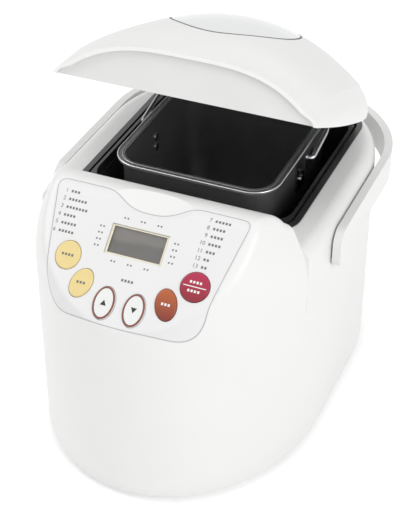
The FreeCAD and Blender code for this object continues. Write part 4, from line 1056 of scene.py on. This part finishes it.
@dataclass
class StudioSizes:
    """Camera and lamps of the studio, in metres, millimetres of lens and watts."""

    camera_place: tuple[float, float, float] = (0.3569, -0.8504, 0.7711)
    camera_target: tuple[float, float, float] = (-0.01205, 0.01218, 0.097)
    lens_mm: float = 97.44
    floor_half: float = 6.0
    floor_glow: float = 0.3
    far_glow: float = 0.56
    glow_reach: tuple[float, float] = (0.6, 3.0)
    world_strength: float = 0.51
    lamps: tuple[Lamp, ...] = (
        Lamp("key_softbox", (1.5, -0.7, 1.0), 1.2, 14.5),
        Lamp("top_softbox", (-0.2, 0.1, 1.9), 1.6, 6.0),
        Lamp("front_fill", (-0.7, -1.7, 0.8), 1.4, 5.0),
        Lamp("left_softbox", (-1.3, -0.35, 1.4), 1.0, 7.0),
    )


class Studio:
    """Pale floor, white surroundings, soft lamps and the camera."""

    def __init__(self, sizes: StudioSizes = StudioSizes()) -> None:
        """Keeps the sizes of the camera and lamps."""
        self.sizes = sizes

    def white_for_eye(self, tree: bpy.types.NodeTree) -> bpy.types.NodeSocket:
        """Adds the test for rays that see the surroundings directly or in gloss and glass.

        Args:
            tree: Shader tree.

        Returns:
            Socket that is one for those rays.
        """
        path = add_node(tree, "ShaderNodeLightPath")
        first = add_node(
            tree, "ShaderNodeMath", {"operation": "MAXIMUM"},
            links={0: path.outputs["Is Camera Ray"], 1: path.outputs["Is Glossy Ray"]},
        )
        both = add_node(
            tree, "ShaderNodeMath", {"operation": "MAXIMUM"},
            links={0: first.outputs[0], 1: path.outputs["Is Transmission Ray"]},
        )
        return both.outputs[0]

    def surroundings(self) -> None:
        """Sets an even white world that the camera sees as plain white."""
        world = bpy.data.worlds.new("studio")
        bpy.context.scene.world = world
        world.use_nodes = True
        tree = world.node_tree
        light = tree.nodes["Background"]
        light.inputs["Color"].default_value = (1.0, 1.0, 1.0, 1.0)
        light.inputs["Strength"].default_value = self.sizes.world_strength
        seen = add_node(tree, "ShaderNodeBackground", values={"Color": (1.0, 1.0, 1.0, 1.0), "Strength": 1.0})
        mixed = add_node(
            tree, "ShaderNodeMixShader",
            links={0: self.white_for_eye(tree), 1: light.outputs[0], 2: seen.outputs[0]},
        )
        tree.links.new(mixed.outputs[0], tree.nodes["World Output"].inputs["Surface"])

    def floor(self) -> None:
        """Lays the pale floor, which keeps the object's shadow and stays white beyond the lamps' reach."""
        sizes = self.sizes
        half = sizes.floor_half
        corners = [Vector((x, y, 0)) for x, y in ((-half, -half), (half, -half), (half, half), (-half, half))]
        plane = mesh_object("floor", corners, [[0, 1, 2, 3]])
        material = bpy.data.materials.new("painted_board_white")
        material.use_nodes = True
        tree = material.node_tree
        shader = tree.nodes["Principled BSDF"]
        shader.inputs["Base Color"].default_value = linear("#F7F7F7")
        shader.inputs["Roughness"].default_value = 0.9
        shader.inputs["Specular IOR Level"].default_value = 0.0
        shader.inputs["Emission Color"].default_value = (1.0, 1.0, 1.0, 1.0)
        place = add_node(tree, "ShaderNodeTexCoord").outputs["Object"]
        away = add_node(tree, "ShaderNodeVectorMath", {"operation": "LENGTH"}, links={0: place})
        level = add_node(
            tree, "ShaderNodeMapRange",
            values={
                "From Min": sizes.glow_reach[0], "From Max": sizes.glow_reach[1],
                "To Min": sizes.floor_glow, "To Max": sizes.far_glow,
            },
            links={"Value": away.outputs["Value"]},
        )
        glow = add_node(
            tree, "ShaderNodeMath", {"operation": "MULTIPLY"},
            links={0: level.outputs["Result"], 1: self.white_for_eye(tree)},
        )
        tree.links.new(glow.outputs[0], shader.inputs["Emission Strength"])
        plane.data.materials.append(material)

    def hang(self, lamp: Lamp) -> None:
        """Hangs one soft square lamp.

        Args:
            lamp: Its place, size and power.
        """
        data = bpy.data.lights.new(lamp.name, "AREA")
        data.shape = "SQUARE"
        data.size = lamp.size
        data.energy = lamp.watts
        thing = bpy.data.objects.new(lamp.name, data)
        place = Vector(lamp.place)
        thing.location = place
        thing.rotation_euler = (Vector(lamp.target) - place).to_track_quat("-Z", "Y").to_euler()
        bpy.context.scene.collection.objects.link(thing)

    def camera(self) -> None:
        """Sets the camera at the photograph's viewing angle."""
        data = bpy.data.cameras.new("camera")
        data.lens = self.sizes.lens_mm
        data.sensor_width = 36.0
        data.sensor_fit = "AUTO"
        thing = bpy.data.objects.new("camera", data)
        place = Vector(self.sizes.camera_place)
        thing.location = place
        thing.rotation_euler = (Vector(self.sizes.camera_target) - place).to_track_quat("-Z", "Y").to_euler()
        bpy.context.scene.collection.objects.link(thing)
        bpy.context.scene.camera = thing

    def build(self) -> None:
        """Builds the whole studio."""
        self.surroundings()
        self.floor()
        for lamp in self.sizes.lamps:
            self.hang(lamp)
        self.camera()
        bpy.context.scene.view_settings.view_transform = "Standard"


def main() -> None:
    """Builds the groups in order, then the studio."""
    logging.basicConfig(level=logging.INFO, format="%(name)s: %(message)s")
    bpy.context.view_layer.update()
    for group in (Housing(), Chamber(), Drive(), Pan(), Lid(), Panel()):
        LOG.info("group %s", type(group).__name__)
        group.dress()
        group.build()
    Studio().build()


if __name__ == "__main__":
    main()
